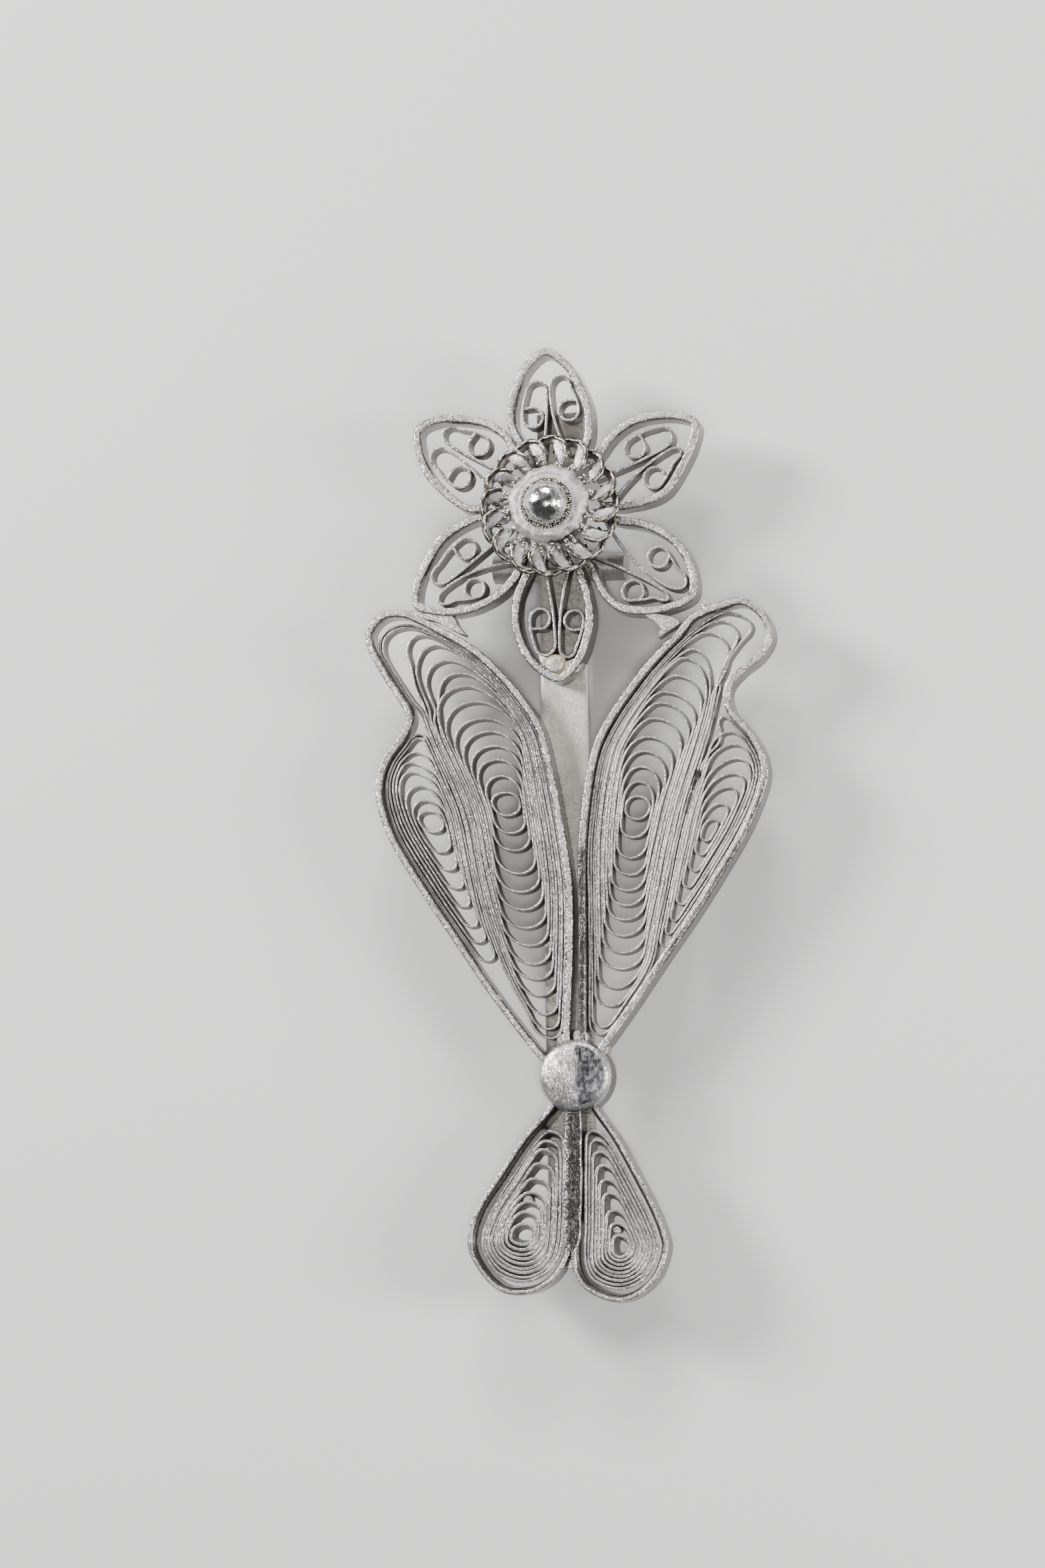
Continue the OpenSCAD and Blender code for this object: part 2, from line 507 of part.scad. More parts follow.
// Hook under the tail, open towards -X: a top under the strip, a wall on the right and a lip below the stem
catch_y = -26.5;
catch_x = [-1.1, 2.3];
catch_wall = 0.5;
catch_bevel = 0.3;
lip_x = -0.5;
module catch() {
    top = strip_lift - gap;
    inner_x = catch_x[1] - catch_wall;
    color("silver") translate([0, catch_y + catch_l / 2, 0]) rotate([90, 0, 0]) linear_extrude(catch_l)
        polygon([[lip_x, 0], [catch_x[1] - catch_bevel, 0], [catch_x[1], catch_bevel], [catch_x[1], top],
            [catch_x[0], top], [catch_x[0], top - catch_wall], [inner_x, top - catch_wall],
            [inner_x, catch_wall], [lip_x, catch_wall]]);
}

translate([-mid.x, -mid.y, 0]) {
    for (i = [0 : len(PETALS) - 1]) {
        petal(i);
        scrolls(i);
    }
    for (i = [0 : len(COILS) - 1]) coil_plate(i);
    rosette_loops();
    rosette_collar();
    rosette_ball();
    leaf_frame(leaf_left);  // leaf_frame_left
    leaf_frame(leaf_right);  // leaf_frame_right
    waist_button();
    tail_frame();
    back_strip();
    pin();
    catch();
}
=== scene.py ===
from math import cos, hypot, pi, radians, sin, sqrt, tan

import bpy
import numpy as np
from numpy.linalg import norm
from mathutils import Matrix, Vector, noise


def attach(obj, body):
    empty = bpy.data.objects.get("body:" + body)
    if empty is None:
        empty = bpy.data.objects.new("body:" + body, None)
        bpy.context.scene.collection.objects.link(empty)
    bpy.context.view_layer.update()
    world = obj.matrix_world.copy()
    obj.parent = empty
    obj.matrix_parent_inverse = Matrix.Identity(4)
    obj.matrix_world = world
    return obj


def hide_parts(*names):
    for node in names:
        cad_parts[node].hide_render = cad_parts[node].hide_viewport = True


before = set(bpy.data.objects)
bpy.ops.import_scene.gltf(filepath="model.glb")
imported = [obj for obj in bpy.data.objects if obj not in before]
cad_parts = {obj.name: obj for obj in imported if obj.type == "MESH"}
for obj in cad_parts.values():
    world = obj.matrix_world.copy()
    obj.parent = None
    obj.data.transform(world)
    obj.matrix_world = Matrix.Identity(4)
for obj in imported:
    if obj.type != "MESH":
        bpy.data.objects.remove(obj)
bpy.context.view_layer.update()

# Lengths are in millimetres up to the call that makes a mesh. Plan points are those of the part's source,
# which moves everything by -MID.
MM = 0.001
MID = np.array([0.02, 0.15])
FRAME_Z, FRAME_TOP = 4.05, 5.9
FRAME_H = FRAME_TOP - FRAME_Z
COIL_Z, COIL_TOP = 4.15, 5.4
COIL_H = COIL_TOP - COIL_Z
SCROLL_TOP, SCROLL_H = 5.65, 1.5
STRIP_Z = 3.4
BUTTON_AT, BUTTON_R = np.array([1.15, -19.25]), 2.75
FLOWER_AT = np.array([-1.4, 23.8])
ROSETTE_AT = np.array([-1.25, 23.7])


def clamp(x, low=0, high=1):
    return min(max(x, low), high)


def noise_at(x, y, z):
    return noise.noise(Vector((x, y, z)))


def placed(name, data):
    """A new object in the scene."""
    ob = bpy.data.objects.new(name, data)
    bpy.context.scene.collection.objects.link(ob)
    return ob


# ---------------------------------------------------------------- camera and light

# Distance to the point aimed at, and how much the picture shows from top to bottom at that distance
CAMERA_DIST, VIEW_HEIGHT = 330, 117.6
CAMERA_AIM = (-3.229, 2.513, 5.9)
LIGHT_AIM = (0, 0, 5)


def place_camera():
    """Straight above, turned 14 degrees to the right and 8 degrees towards the tail."""
    turn, tilt, roll = radians(14), radians(8), radians(0.88)
    back = Vector((sin(turn) * cos(tilt), -sin(tilt), cos(turn) * cos(tilt)))
    side = (-back).cross(Vector((0, 1, 0))).normalized()
    up = side.cross(-back)
    right = side * cos(roll) + up * sin(roll)
    up = up * cos(roll) - side * sin(roll)
    data = bpy.data.cameras.new("camera")
    data.sensor_fit = "VERTICAL"
    data.sensor_height = 24
    data.lens = data.sensor_height * CAMERA_DIST / VIEW_HEIGHT
    data.clip_start = 0.01
    m = Matrix((right, up, back)).transposed().to_4x4()
    m.translation = Vector(CAMERA_AIM) * MM + back * (CAMERA_DIST * MM)
    bpy.context.scene.camera = placed("camera", data)
    bpy.context.scene.camera.matrix_world = m


def area_light(name, at, size, power):
    data = bpy.data.lights.new(name, "AREA")
    data.shape = "RECTANGLE"
    data.size, data.size_y = size[0] * MM, size[1] * MM
    data.energy = power
    p = Vector(at) * MM
    facing = (p - Vector(LIGHT_AIM) * MM).to_track_quat("Z", "Y")
    placed(name, data).matrix_world = Matrix.Translation(p) @ facing.to_matrix().to_4x4()


# ---------------------------------------------------------------- materials

def new_material(name):
    mat = bpy.data.materials.new(name)
    mat.use_nodes = True
    return mat, mat.node_tree, mat.node_tree.nodes["Principled BSDF"]


class Nodes:
    """Short names for the nodes that the materials share."""

    def __init__(self, nt):
        self.nt = nt
        self.mm = self.new("VectorMath", "Vector", {0: self.new("TexCoord", "Object", {}), "Scale": 1 / MM},
                           operation="SCALE")

    def new(self, kind, output, inputs, **settings):
        """The output of a new node. Each input is set to a number, a vector or a colour, or linked."""
        node = self.nt.nodes.new("ShaderNode" + kind)
        for key, value in settings.items():
            setattr(node, key, value)
        for key, value in inputs.items():
            socket = node.inputs[key]
            if isinstance(value, (int, float)):
                socket.default_value = value
            elif isinstance(value, tuple):
                socket.default_value = value if len(socket.default_value) == 3 else (*value, 1)
            else:
                self.nt.links.new(value, socket)
        return node.outputs[output]

    def noise(self, per_mm, detail, rough, stretch=None):
        v = self.mm
        if stretch:
            v = self.new("Mapping", "Vector", {"Vector": v, "Scale": stretch, "Rotation": (0, 0, 0.5)})
        inputs = {"Vector": v, "Scale": per_mm, "Detail": detail, "Roughness": rough}
        return self.new("TexNoise", "Fac", inputs)

    def attribute(self, name):
        return self.new("Attribute", "Fac", {}, attribute_name=name)

    def ramp(self, fac, *stops):
        """From one grey to another between two values of fac."""
        out = self.new("ValToRGB", "Color", {"Fac": fac})
        for element, (position, grey) in zip(out.node.color_ramp.elements, stops):
            element.position = position
            element.color = (grey, grey, grey, 1)
        return out

    def math(self, op, a, b):
        return self.new("Math", 0, {0: a, 1: b}, operation=op)

    def mix(self, fac, a, b):
        return self.new("Mix", 2, {0: fac, 6: a, 7: b}, data_type="RGBA", clamp_factor=True)

    def bump(self, height, strength, dist_mm, after=None):
        inputs = {"Strength": strength, "Distance": dist_mm * MM, "Height": height}
        return self.new("Bump", "Normal", {**inputs, "Normal": after} if after else inputs)

    def facets(self, per_mm, amount, normal):
        """Tilts the normal by a random step in each cell, as the crystals of a frosted surface do."""
        v = self.new("TexVoronoi", "Color", {"Vector": self.mm, "Scale": per_mm})
        for op, more in (("SUBTRACT", {1: (0.5, 0.5, 0.5)}), ("SCALE", {"Scale": amount}),
                         ("ADD", {1: normal}), ("NORMALIZE", {})):
            v = self.new("VectorMath", "Vector", {0: v, **more}, operation=op)
        return v


def silver(name, light, dark, painted_shade_tone, rough, metallic=1.0, grain=0.5, scratch=0.0, mottle=0.6, spots=0.0):
    """Silver between two tones. rough is (matte, burnished) roughness, taken by the attribute "wear", which
    also lightens burnished points as painted sheen; "deep" is how far a point takes painted_shade_tone, a
    painted shade."""
    mat, nt, bsdf = new_material(name)
    n = Nodes(nt)
    wear, deep = n.attribute("wear"), n.attribute("deep")
    broad, fine, streak = n.noise(mottle, 4, 0.6), n.noise(14, 2, 0.6), n.noise(3.5, 3, 0.65)
    tone = n.mix(n.ramp(broad, (0.35, 0.0), (0.68, 1.0)), dark, light)
    tone = n.mix(n.math("MULTIPLY", n.ramp(fine, (0.45, 0.0), (0.72, 1.0)), 0.4), tone, light)
    # painted sheen: burnished points are lightened towards the light tone in streaks
    tone = n.mix(n.math("MULTIPLY", wear, n.ramp(streak, (0.38, 0.85), (0.6, 0.15))), tone, light)
    # painted shade: walls, creases and dark reflections are darkened towards the dark shade tone
    tone = n.mix(n.math("MULTIPLY", deep, n.ramp(streak, (0.3, 1.0), (0.75, 0.62))), tone, painted_shade_tone)
    if spots:
        spot = n.math("MULTIPLY", n.ramp(n.noise(0.9, 5, 0.7), (0.62, 0.0), (0.72, 1.0)), spots)
        tone = n.mix(spot, tone, SPOT_BROWN)
    nt.links.new(tone, bsdf.inputs["Base Color"])
    matte, burnished = rough
    roughness = n.math("ADD", n.math("MULTIPLY", n.math("SUBTRACT", 1, wear), matte - burnished), burnished)
    for texture, amount in ((fine, 0.35), (broad, 0.25)):
        roughness = n.math("ADD", roughness, n.math("MULTIPLY", n.math("SUBTRACT", texture, 0.5), amount))
    nt.links.new(roughness, bsdf.inputs["Roughness"])
    bsdf.inputs["Metallic"].default_value = metallic
    normal = n.bump(fine, 0.35 * grain, 0.03)
    exposed = n.math("SUBTRACT", 1, n.math("MULTIPLY", deep, 0.8))
    normal = n.facets(11, n.math("MULTIPLY", exposed, 0.6 * grain), normal)
    if scratch:
        lines = n.noise(1.0, 4, 0.65, stretch=(14, 0.8, 3))
        normal = n.bump(n.ramp(lines, (0.47, 0.0), (0.52, 1.0)), scratch, 0.012, normal)
    nt.links.new(normal, bsdf.inputs["Normal"])
    return mat


SPOT_BROWN = (0.2, 0.13, 0.07)
# The third tone of each silver is painted shade, for walls, creases and dark reflections
FROST = silver("frosted_ribbon", (0.43, 0.41, 0.395), (0.28, 0.265, 0.253), (0.07, 0.066, 0.062), (0.46, 0.3),
               metallic=0.92, grain=0.5)
WIRE = silver("polished_wire", (0.44, 0.415, 0.39), (0.27, 0.252, 0.234), (0.075, 0.07, 0.064), (0.4, 0.14),
              metallic=0.95, grain=0.8, scratch=0.3)
ROPE = silver("rope_wire", (0.44, 0.4, 0.35), (0.25, 0.22, 0.185), (0.05, 0.043, 0.036), (0.34, 0.2))
COLLAR = silver("matte_collar", (0.52, 0.5, 0.48), (0.38, 0.36, 0.34), (0.12, 0.11, 0.1), (0.55, 0.4),
                metallic=0.85, grain=0.6, mottle=0.9)
BALL = silver("mirror_ball", (0.82, 0.8, 0.78), (0.45, 0.43, 0.41), (0.05, 0.045, 0.04), (0.2, 0.15),
              grain=0.3, scratch=0.1, mottle=1.3)
BUTTON = silver("polished_button", (0.5, 0.485, 0.47), (0.33, 0.32, 0.31), (0.035, 0.036, 0.04), (0.42, 0.28),
                grain=0.5, scratch=0.5, mottle=0.9)
# The strip's tones are lighter than the other silvers': painted light against the shade it lies in under the
# petals
STRIP = silver("aged_strip", (0.52, 0.49, 0.445), (0.4, 0.37, 0.32), (0.12, 0.1, 0.08), (0.5, 0.4),
               metallic=0.6, grain=0.4, scratch=0.3, mottle=0.35, spots=0.5)
PLAIN = silver("plain_pin", (0.5, 0.485, 0.465), (0.38, 0.36, 0.34), (0.1, 0.093, 0.086), (0.4, 0.3),
               metallic=0.8, grain=0.3, scratch=0.3)
SOLDER = silver("solder", (0.44, 0.41, 0.375), (0.3, 0.275, 0.245), (0.12, 0.105, 0.09), (0.46, 0.36),
                metallic=0.9, grain=0.8, mottle=1.5)
STAIN = silver("stain", (0.33, 0.25, 0.14), (0.24, 0.17, 0.09), (0.15, 0.1, 0.06), (0.6, 0.5),
               metallic=0.2, grain=0.6)
GRAINS = silver("grains", (0.85, 0.82, 0.77), (0.5, 0.46, 0.4), (0.15, 0.13, 0.11), (0.2, 0.12),
                grain=1.0, mottle=3)


# ---------------------------------------------------------------- plan curves

def span(a, b, c, d, t):
    return 0.5 * (2 * b + (c - a) * t + (2 * a - 5 * b + 4 * c - d) * t * t + (3 * b - a - 3 * c + d) * t ** 3)


def closed_curve(p, steps):
    p = np.array(p, float)
    n = len(p)
    return np.array([span(p[i - 1], p[i], p[(i + 1) % n], p[(i + 2) % n], s / steps)
                     for i in range(n) for s in range(steps)])


def open_curve(p, steps):
    p = np.array(p, float)
    n = len(p)
    out = [span(p[max(i - 1, 0)], p[i], p[i + 1], p[min(i + 2, n - 1)], s / steps)
           for i in range(n - 1) for s in range(steps)]
    return np.array(out + [p[-1]])


def lengths(p):
    """How far along the line each of its points is."""
    return np.concatenate([[0], np.cumsum(norm(np.diff(p, axis=0), axis=1))])


def even(p, step, closed=False):
    """The same line with points an even step apart."""
    q = np.vstack([p, p[:1]]) if closed else np.asarray(p, float)
    s = lengths(q)
    n = max(int(round(s[-1] / step)), 3)
    t = np.linspace(0, s[-1], n + 1)
    if closed:
        t = t[:-1]
    return np.column_stack([np.interp(t, s, q[:, k]) for k in range(q.shape[1])])


def soften(p, rounds, closed=False):
    p = np.array(p, float)
    for _ in range(rounds):
        if closed:
            p = (np.roll(p, 1, 0) + 2 * p + np.roll(p, -1, 0)) / 4
        else:
            p[1:-1] = (p[:-2] + 2 * p[1:-1] + p[2:]) / 4
    return p


def tangents(p, closed=False):
    if closed:
        d = np.roll(p, -1, 0) - np.roll(p, 1, 0)
    else:
        d = np.gradient(p, axis=0)
    return d / np.maximum(norm(d, axis=1), 1e-9)[:, None]


def left_of(t):
    return np.column_stack([-t[:, 1], t[:, 0]])


def turned(p):
    """1 where a closed line runs anticlockwise, -1 where it runs clockwise."""
    q = np.roll(p, -1, 0)
    return 1 if np.sum(p[:, 0] * q[:, 1] - q[:, 0] * p[:, 1]) > 0 else -1


def clockwise(p):
    return p[::-1] if turned(p) > 0 else p


def inset(p, d):
    return p + turned(p) * d * left_of(tangents(p, True))


# ---------------------------------------------------------------- meshes

class Parts:
    """Collects the shapes that become one piece. wear is how far a point is burnished and lightened by painted
    sheen, deep how far it is darkened by painted shade.
    """

    def __init__(self):
        self.verts, self.faces, self.wear, self.deep, self.mat = [], [], [], [], []
        self.count = 0

    def add(self, verts, faces, wear, deep=0.0, mat=0):
        self.verts.append(np.asarray(verts, float))
        self.faces += [tuple(i + self.count for i in f) for f in faces]
        self.count += len(verts)
        for store, value in ((self.wear, wear), (self.deep, deep)):
            store.append(np.broadcast_to(value, len(verts)).astype(float))
        self.mat += [mat] * len(faces)

    def make(self, name, mats, sharp=38, replaces=()):
        me = bpy.data.meshes.new(name)
        me.from_pydata(((np.vstack(self.verts) - [*MID, 0]) * MM).tolist(), [], self.faces)
        me.validate()
        for key, value in (("wear", self.wear), ("deep", self.deep)):
            me.attributes.new(key, "FLOAT", "POINT").data.foreach_set("value", np.concatenate(value))
        me.polygons.foreach_set("use_smooth", [True] * len(me.polygons))
        me.set_sharp_from_angle(angle=radians(sharp))
        for m in mats:
            me.materials.append(m)
        if len(mats) > 1:
            me.polygons.foreach_set("material_index", self.mat)
        ob = placed(name, me)
        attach(ob, "root")
        if replaces:
            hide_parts(*replaces)


def quads(n, m, closed=True, wrap=True, flip=False):
    """The faces between n rings of m points. closed joins the last ring to the first, wrap the last point of
    each ring to its first, and flip turns the faces over."""
    out = []
    for i in range(n if closed else n - 1):
        a, b = i * m, (i + 1) % n * m
        for j in range(m if wrap else m - 1):
            k = (j + 1) % m
            out.append((a + j, a + k, b + k, b + j) if flip else (a + j, b + j, b + k, a + k))
    return out


def sweep(parts, line, z, section, closed=False, lean=0.0, warp=None):
    """Sweeps a section along a plan line at height z. Its rows are side, height, wear and deep, from its foot
    on the right over the top to its foot on the left. lean moves the foot sideways; warp(s, a, h) gives moves
    of each section point along side and height for the points at lengths s."""
    n, m = len(line), len(section)
    a, h = (np.tile(section[:, k], (n, 1)) for k in (0, 1))
    a = a + lean * (1 - h / section[:, 1].max())
    if warp:
        da, dh = warp(lengths(line), a, h)
        a, h = a + da, h + dh
    xy = line[:, None] + left_of(tangents(line, closed))[:, None] * a[:, :, None]
    faces = quads(n, m, closed)
    if not closed:
        faces += [tuple(range(m)), tuple(reversed(range((n - 1) * m, n * m)))]
    parts.add(np.dstack([xy, z + h]).reshape(-1, 3), faces, *np.tile(section[:, 2:].T, n))


def smooth_noise(s, length, seed, size):
    """A smooth random line over the lengths s."""
    return np.array([noise_at(x / length, seed * 7.31, 0.5) for x in s]) * size


MILL_PITCH, MILL_H, SWAY = 0.17, 0.16, 0.03


def milled(seed, depth=0.03):
    """Cross grooves along the outer upper corner of a frame wire and a slightly uneven width and height."""
    def warp(s, a, h):
        grooves = 0.5 + 0.5 * np.sin(2 * np.pi * s / MILL_PITCH + 3 * smooth_noise(s, 0.9, seed, 1.0))
        grooves = grooves * (0.55 + smooth_noise(s, 1.1, seed + 3, 0.9))
        corner = np.clip((h - (FRAME_H - MILL_H)) / MILL_H, 0, 1)
        corner = corner * np.clip(np.abs(a) / np.abs(a).max() * 2.2 - 1.1, 0, 1) * (a > 0)
        cut = corner * grooves[:, None] * depth
        wide = smooth_noise(s, 2.3, seed + 5, SWAY)[:, None]
        high = smooth_noise(s, 3.1, seed + 9, SWAY)[:, None] - SWAY * 0.6
        top = np.clip(h / FRAME_H, 0, 1)
        return a * wide * top - cut, high * top - cut
    return warp


# ---------------------------------------------------------------- frames

LEAF_LEFT = [
    (-12.9, 16.2), (-14.6, 16.0), (-15.7, 14.8), (-15.5, 13.2), (-14.4, 11.2), (-13.2, 9.4), (-12.4, 8.0),
    (-13.0, 6.5), (-14.1, 5.0), (-14.7, 3.2), (-14.5, 1.1), (-13.4, -1.7), (-10.9, -5.6), (-8.5, -9.0),
    (-5.6, -13.1), (-1.9, -17.7), (-0.6, -18.6), (0.5, -17.4), (0.7, -15.0), (0.8, -10.0), (0.7, -5.2),
    (0.2, -1.7), (-0.5, 1.9), (-1.0, 4.2), (-1.8, 7.0), (-3.5, 9.6), (-5.9, 12.2), (-7.7, 13.6),
    (-9.6, 14.7), (-11.1, 15.5)]
LEAF_RIGHT = [
    (13.5, 16.4), (11.6, 16.1), (9.6, 15.3), (8.3, 13.9), (6.6, 12.2), (4.5, 9.6), (2.6, 6.6), (1.8, 4.2),
    (1.3, 0.6), (1.1, -2.9), (1.2, -7.6), (1.3, -12.2), (1.35, -15.5), (1.6, -17.5), (2.5, -18.4),
    (3.6, -17.0), (5.6, -14.2), (7.95, -10.7), (10.1, -7.6), (12.2, -4.3), (14.2, -0.8), (15.4, 2.4),
    (15.3, 4.4), (14.3, 6.3), (12.9, 7.9), (12.6, 9.4), (13.5, 10.6), (15.0, 11.8), (15.8, 13.4),
    (15.2, 15.2)]
TAIL_LEFT = [
    (0.0, -20.2), (-0.9, -21.6), (-2.9, -23.9), (-4.7, -26.6), (-6.2, -28.9), (-6.9, -31.1), (-6.6, -32.7),
    (-5.4, -34.4), (-4.1, -35.3), (-2.6, -35.4), (-1.2, -35.0), (0.2, -33.8), (1.0, -31.8), (1.15, -28.0),
    (1.1, -24.0), (1.0, -21.0)]
TAIL_RIGHT = [
    (2.2, -20.3), (2.9, -21.6), (4.5, -23.8), (6.0, -26.4), (7.3, -28.8), (8.1, -30.7), (8.3, -32.1),
    (7.6, -34.1), (6.2, -35.4), (4.7, -35.9), (3.2, -35.6), (1.8, -34.7), (1.05, -33.0), (1.05, -30.0),
    (1.0, -26.0), (1.0, -22.5), (1.1, -20.8)]
LEAF_WIRE, TAIL_WIRE, PETAL_WIRE = 0.55, 0.7, 0.6
EDGE_STEP = 0.055


def clear_of_button(p):
    """The closed line opened where it runs under the button."""
    keep = norm(p - BUTTON_AT, axis=1) > BUTTON_R - 0.35
    start = next(i for i in range(len(p)) if keep[i] and not keep[i - 1])
    return np.roll(p, -start, 0)[:int(np.argmin(np.roll(keep, -start)))]


def loop_line(table, wire):
    """The middle of the wire whose outer edge is the table's curve. It runs clockwise: its outside is on its
    left, the side of positive offsets."""
    edge = clockwise(even(closed_curve(table, 8), EDGE_STEP, True))
    return clear_of_button(soften(inset(edge, wire / 2), 6, True))


def flat_wire(w):
    """Section of a flat wire on edge with its top ground flat, from the inner foot to the outer one."""
    h = FRAME_H
    # Rows are side, height, wear and deep: painted shade darkens both walls and a line along the inner top
    # edge, and painted sheen lightens the burnished corners
    return np.array([
        (-w / 2 + 0.04, 0, 0.3, 1), (-w / 2, 0.06, 0.6, 1), (-w / 2, h * 0.5, 0.9, 0.9),
        (-w / 2, h - 0.12, 1, 0.75), (-w / 2 + 0.02, h - 0.04, 1, 0.85), (-w / 2 + 0.07, h - 0.01, 0.8, 0.45),
        (-w * 0.2, h, 0, 0), (w * 0.17, h, 0, 0), (w / 2 - 0.11, h - 0.005, 0.2, 0),
        (w / 2 - 0.05, h - 0.02, 0.9, 0), (w / 2, h - 0.09, 1, 0.15), (w / 2, h - 0.22, 1, 0.8),
        (w / 2, h * 0.6, 0.9, 0.95), (w / 2, 0.06, 0.6, 1), (w / 2 - 0.04, 0, 0.3, 1)])


def leaf_wire(side, table, seed, dark=None):
    """dark(x, y, outer) is how far the top is burnished and painted dark as a dark reflection at a point, on
    its outer or its inner half.
    """
    parts = Parts()
    sec = flat_wire(LEAF_WIRE)
    sweep(parts, loop_line(table, LEAF_WIRE), FRAME_Z, sec, warp=milled(seed))
    if dark:
        for i, (x, y, _) in enumerate(parts.verts[0]):
            a, height, wear, deep = sec[i % len(sec)]
            if height > FRAME_H - 0.3:
                # painted dark reflection on the wire's top, which is burnished there too
                amount = dark(x, y, a > 0) * (0.85 + 0.5 * noise_at(x * 2, y * 2, a * 6))
                parts.deep[0][i] = clamp(max(deep, amount))
                parts.wear[0][i] = max(wear, min(amount * 1.2, 1))
    parts.make("leaf_wire_" + side, [WIRE], replaces=("leaf_frame_" + side,))


# Where the right leaf's top is painted dark as a dark reflection: along the lower part of its spine, and on the
# outer half of its lower flank
def right_leaf_dark_reflection(x, y, outer):
    spine = clamp((-0.6 - y) / 2.2) * (x < 2.2) * (y > -17.2)
    flank = clamp((4.0 - y) / 2.5) * clamp((x - 5.5) / 2.5) * outer
    return 0.95 * max(spine, flank)


leaf_wire("left", LEAF_LEFT, 1)
leaf_wire("right", LEAF_RIGHT, 2, right_leaf_dark_reflection)


def leaning_wire(w):
    """Section of the tail's wire, which leans outwards so that its inner face shows beside a narrow top."""
    h = FRAME_H
    # Rows are side, height, wear and deep: painted shade darkens the leaning inner face and the outer wall, and
    # painted sheen lightens the burnished corners
    return np.array([
        (-w / 2 + 0.04, 0, 0.6, 1), (-w / 2, 0.08, 0.8, 1), (-0.22, h * 0.6, 0.9, 0.9),
        (-0.18, h - 0.28, 1, 0.85), (-0.02, h - 0.06, 1, 0.9), (0.03, h - 0.01, 0.9, 0.5), (0.08, h, 0.3, 0),
        (w / 2 - 0.13, h, 0.1, 0), (w / 2 - 0.05, h - 0.02, 0.9, 0), (w / 2, h - 0.1, 1, 0.15),
        (w / 2, h * 0.5, 0.9, 0.75), (w / 2, 0.06, 0.9, 1), (w / 2 - 0.06, 0, 0.6, 1)])


def tail_wires():
    parts = Parts()
    for i, table in enumerate((TAIL_LEFT, TAIL_RIGHT)):
        sweep(parts, loop_line(table, TAIL_WIRE), FRAME_Z, leaning_wire(TAIL_WIRE), warp=milled(11 + i, 0.04))
    # where the two loops lie side by side they are burnished into one bar, painted dark as a dark reflection,
    # between two edges lightened by painted sheen
    bar = np.array([
        (-0.62, 0, 0.6, 1), (-0.65, 0.3, 0.9, 0.9), (-0.63, 0.43, 1, 0), (-0.57, 0.45, 1, 0),
        (-0.5, 0.43, 1, 0.85), (-0.25, 0.4, 1, 0.95), (0, 0.39, 1, 1), (0.25, 0.4, 1, 0.95),
        (0.52, 0.43, 1, 0.85), (0.58, 0.45, 1, 0), (0.63, 0.43, 1, 0), (0.65, 0.3, 0.9, 0.9),
        (0.62, 0, 0.6, 1)])
    line = even(open_curve([(1.02, -21.4), (1.08, -24.0), (1.1, -28.0), (1.08, -32.2)], 10), 0.12)

    def narrower(s, a, h):
        end = np.clip((s[-1] - s) / 1.3, 0, 1)[:, None]
        da = a * (0.35 + 0.65 * np.sqrt(end) - 1) + a * smooth_noise(s, 1.7, 31, 0.12)[:, None]
        return da, smooth_noise(s, 0.8, 33, 0.03)[:, None] * (h > 0.2)
    sweep(parts, line, FRAME_TOP - 0.34, bar, warp=narrower)
    parts.make("tail_wires", [WIRE], replaces=("tail_frame",))


tail_wires()

# Petals: angle, angle of the seam to the next petal, reach, how far to the left the tip stands, half widths at
# the stations on the left and on the right
STATIONS = (0.36, 0.5, 0.64, 0.78, 0.91)
PETALS = {
    "top": (91.6, 119.2, 12.4, 0.3, (3.0, 3.25, 3.25, 2.8, 1.95), (3.2, 3.4, 3.2, 2.5, 1.45)),
    "upper_left": (146.8, 183, 12.6, 0.35, (3.65, 3.8, 3.6, 3.1, 1.95), (3.0, 3.1, 3.05, 2.35, 1.35)),
    "lower_left": (216.7, 246.8, 12.95, -0.35, (2.8, 3.2, 3.1, 2.5, 1.3), (3.2, 3.6, 3.6, 2.9, 1.95)),
    "bottom": (273.2, 299.5, 13.5, 0.1, (2.3, 2.8, 3.0, 2.6, 1.75), (2.55, 3.2, 3.35, 2.9, 1.85)),
    "lower_right": (329, 355, 13.4, -0.4, (1.9, 2.6, 2.85, 2.55, 1.5), (2.5, 3.7, 4.25, 3.6, 2.3)),
    "upper_right": (28.2, 57, 13.0, 0.1, (1.9, 2.75, 3.0, 2.55, 1.6), (3.0, 3.6, 3.7, 2.75, 1.5))}
PETAL_ROOT = 3.2
GAP = 0.05


def in_petal(name, uv):
    a = radians(PETALS[name][0])
    uv = np.array(uv, float)
    return FLOWER_AT + np.column_stack([uv[:, 0] * cos(a) - uv[:, 1] * sin(a),
                                        uv[:, 0] * sin(a) + uv[:, 1] * cos(a)])


def petal_edge(name):
    angle, seam, reach, tip, left, right = PETALS[name]
    names = list(PETALS)
    before = PETALS[names[names.index(name) - 1]][1]
    up, down = (radians(abs((x - angle + 540) % 360 - 180)) for x in (seam, before))
    pts = [(PETAL_ROOT, left[0])] + [(reach * k, v) for k, v in zip(STATIONS, left)] + [(reach, tip)]
    pts += [(reach * k, -v) for k, v in zip(STATIONS[::-1], right[::-1])] + [(PETAL_ROOT, -right[0])]
    out = [(u, max(GAP / cos(down) - u * tan(down), min(u * tan(up) - GAP / cos(up), v)))
           for u, v in open_curve(pts, 10)]
    return in_petal(name, out)


def petal_wire(name, seed):
    edge = soften(even(petal_edge(name), EDGE_STEP), 60)
    # the edge runs from the root's left side, seen outwards, round the tip: clockwise, outside on its left
    line = edge - left_of(tangents(edge)) * PETAL_WIRE / 2
    parts = Parts()
    sweep(parts, line, FRAME_Z, flat_wire(PETAL_WIRE), warp=milled(seed))
    parts.make("petal_wire_" + name, [WIRE], replaces=("petal_" + name,))


for i, name in enumerate(PETALS):
    petal_wire(name, 20 + i)

# ---------------------------------------------------------------- scrolls

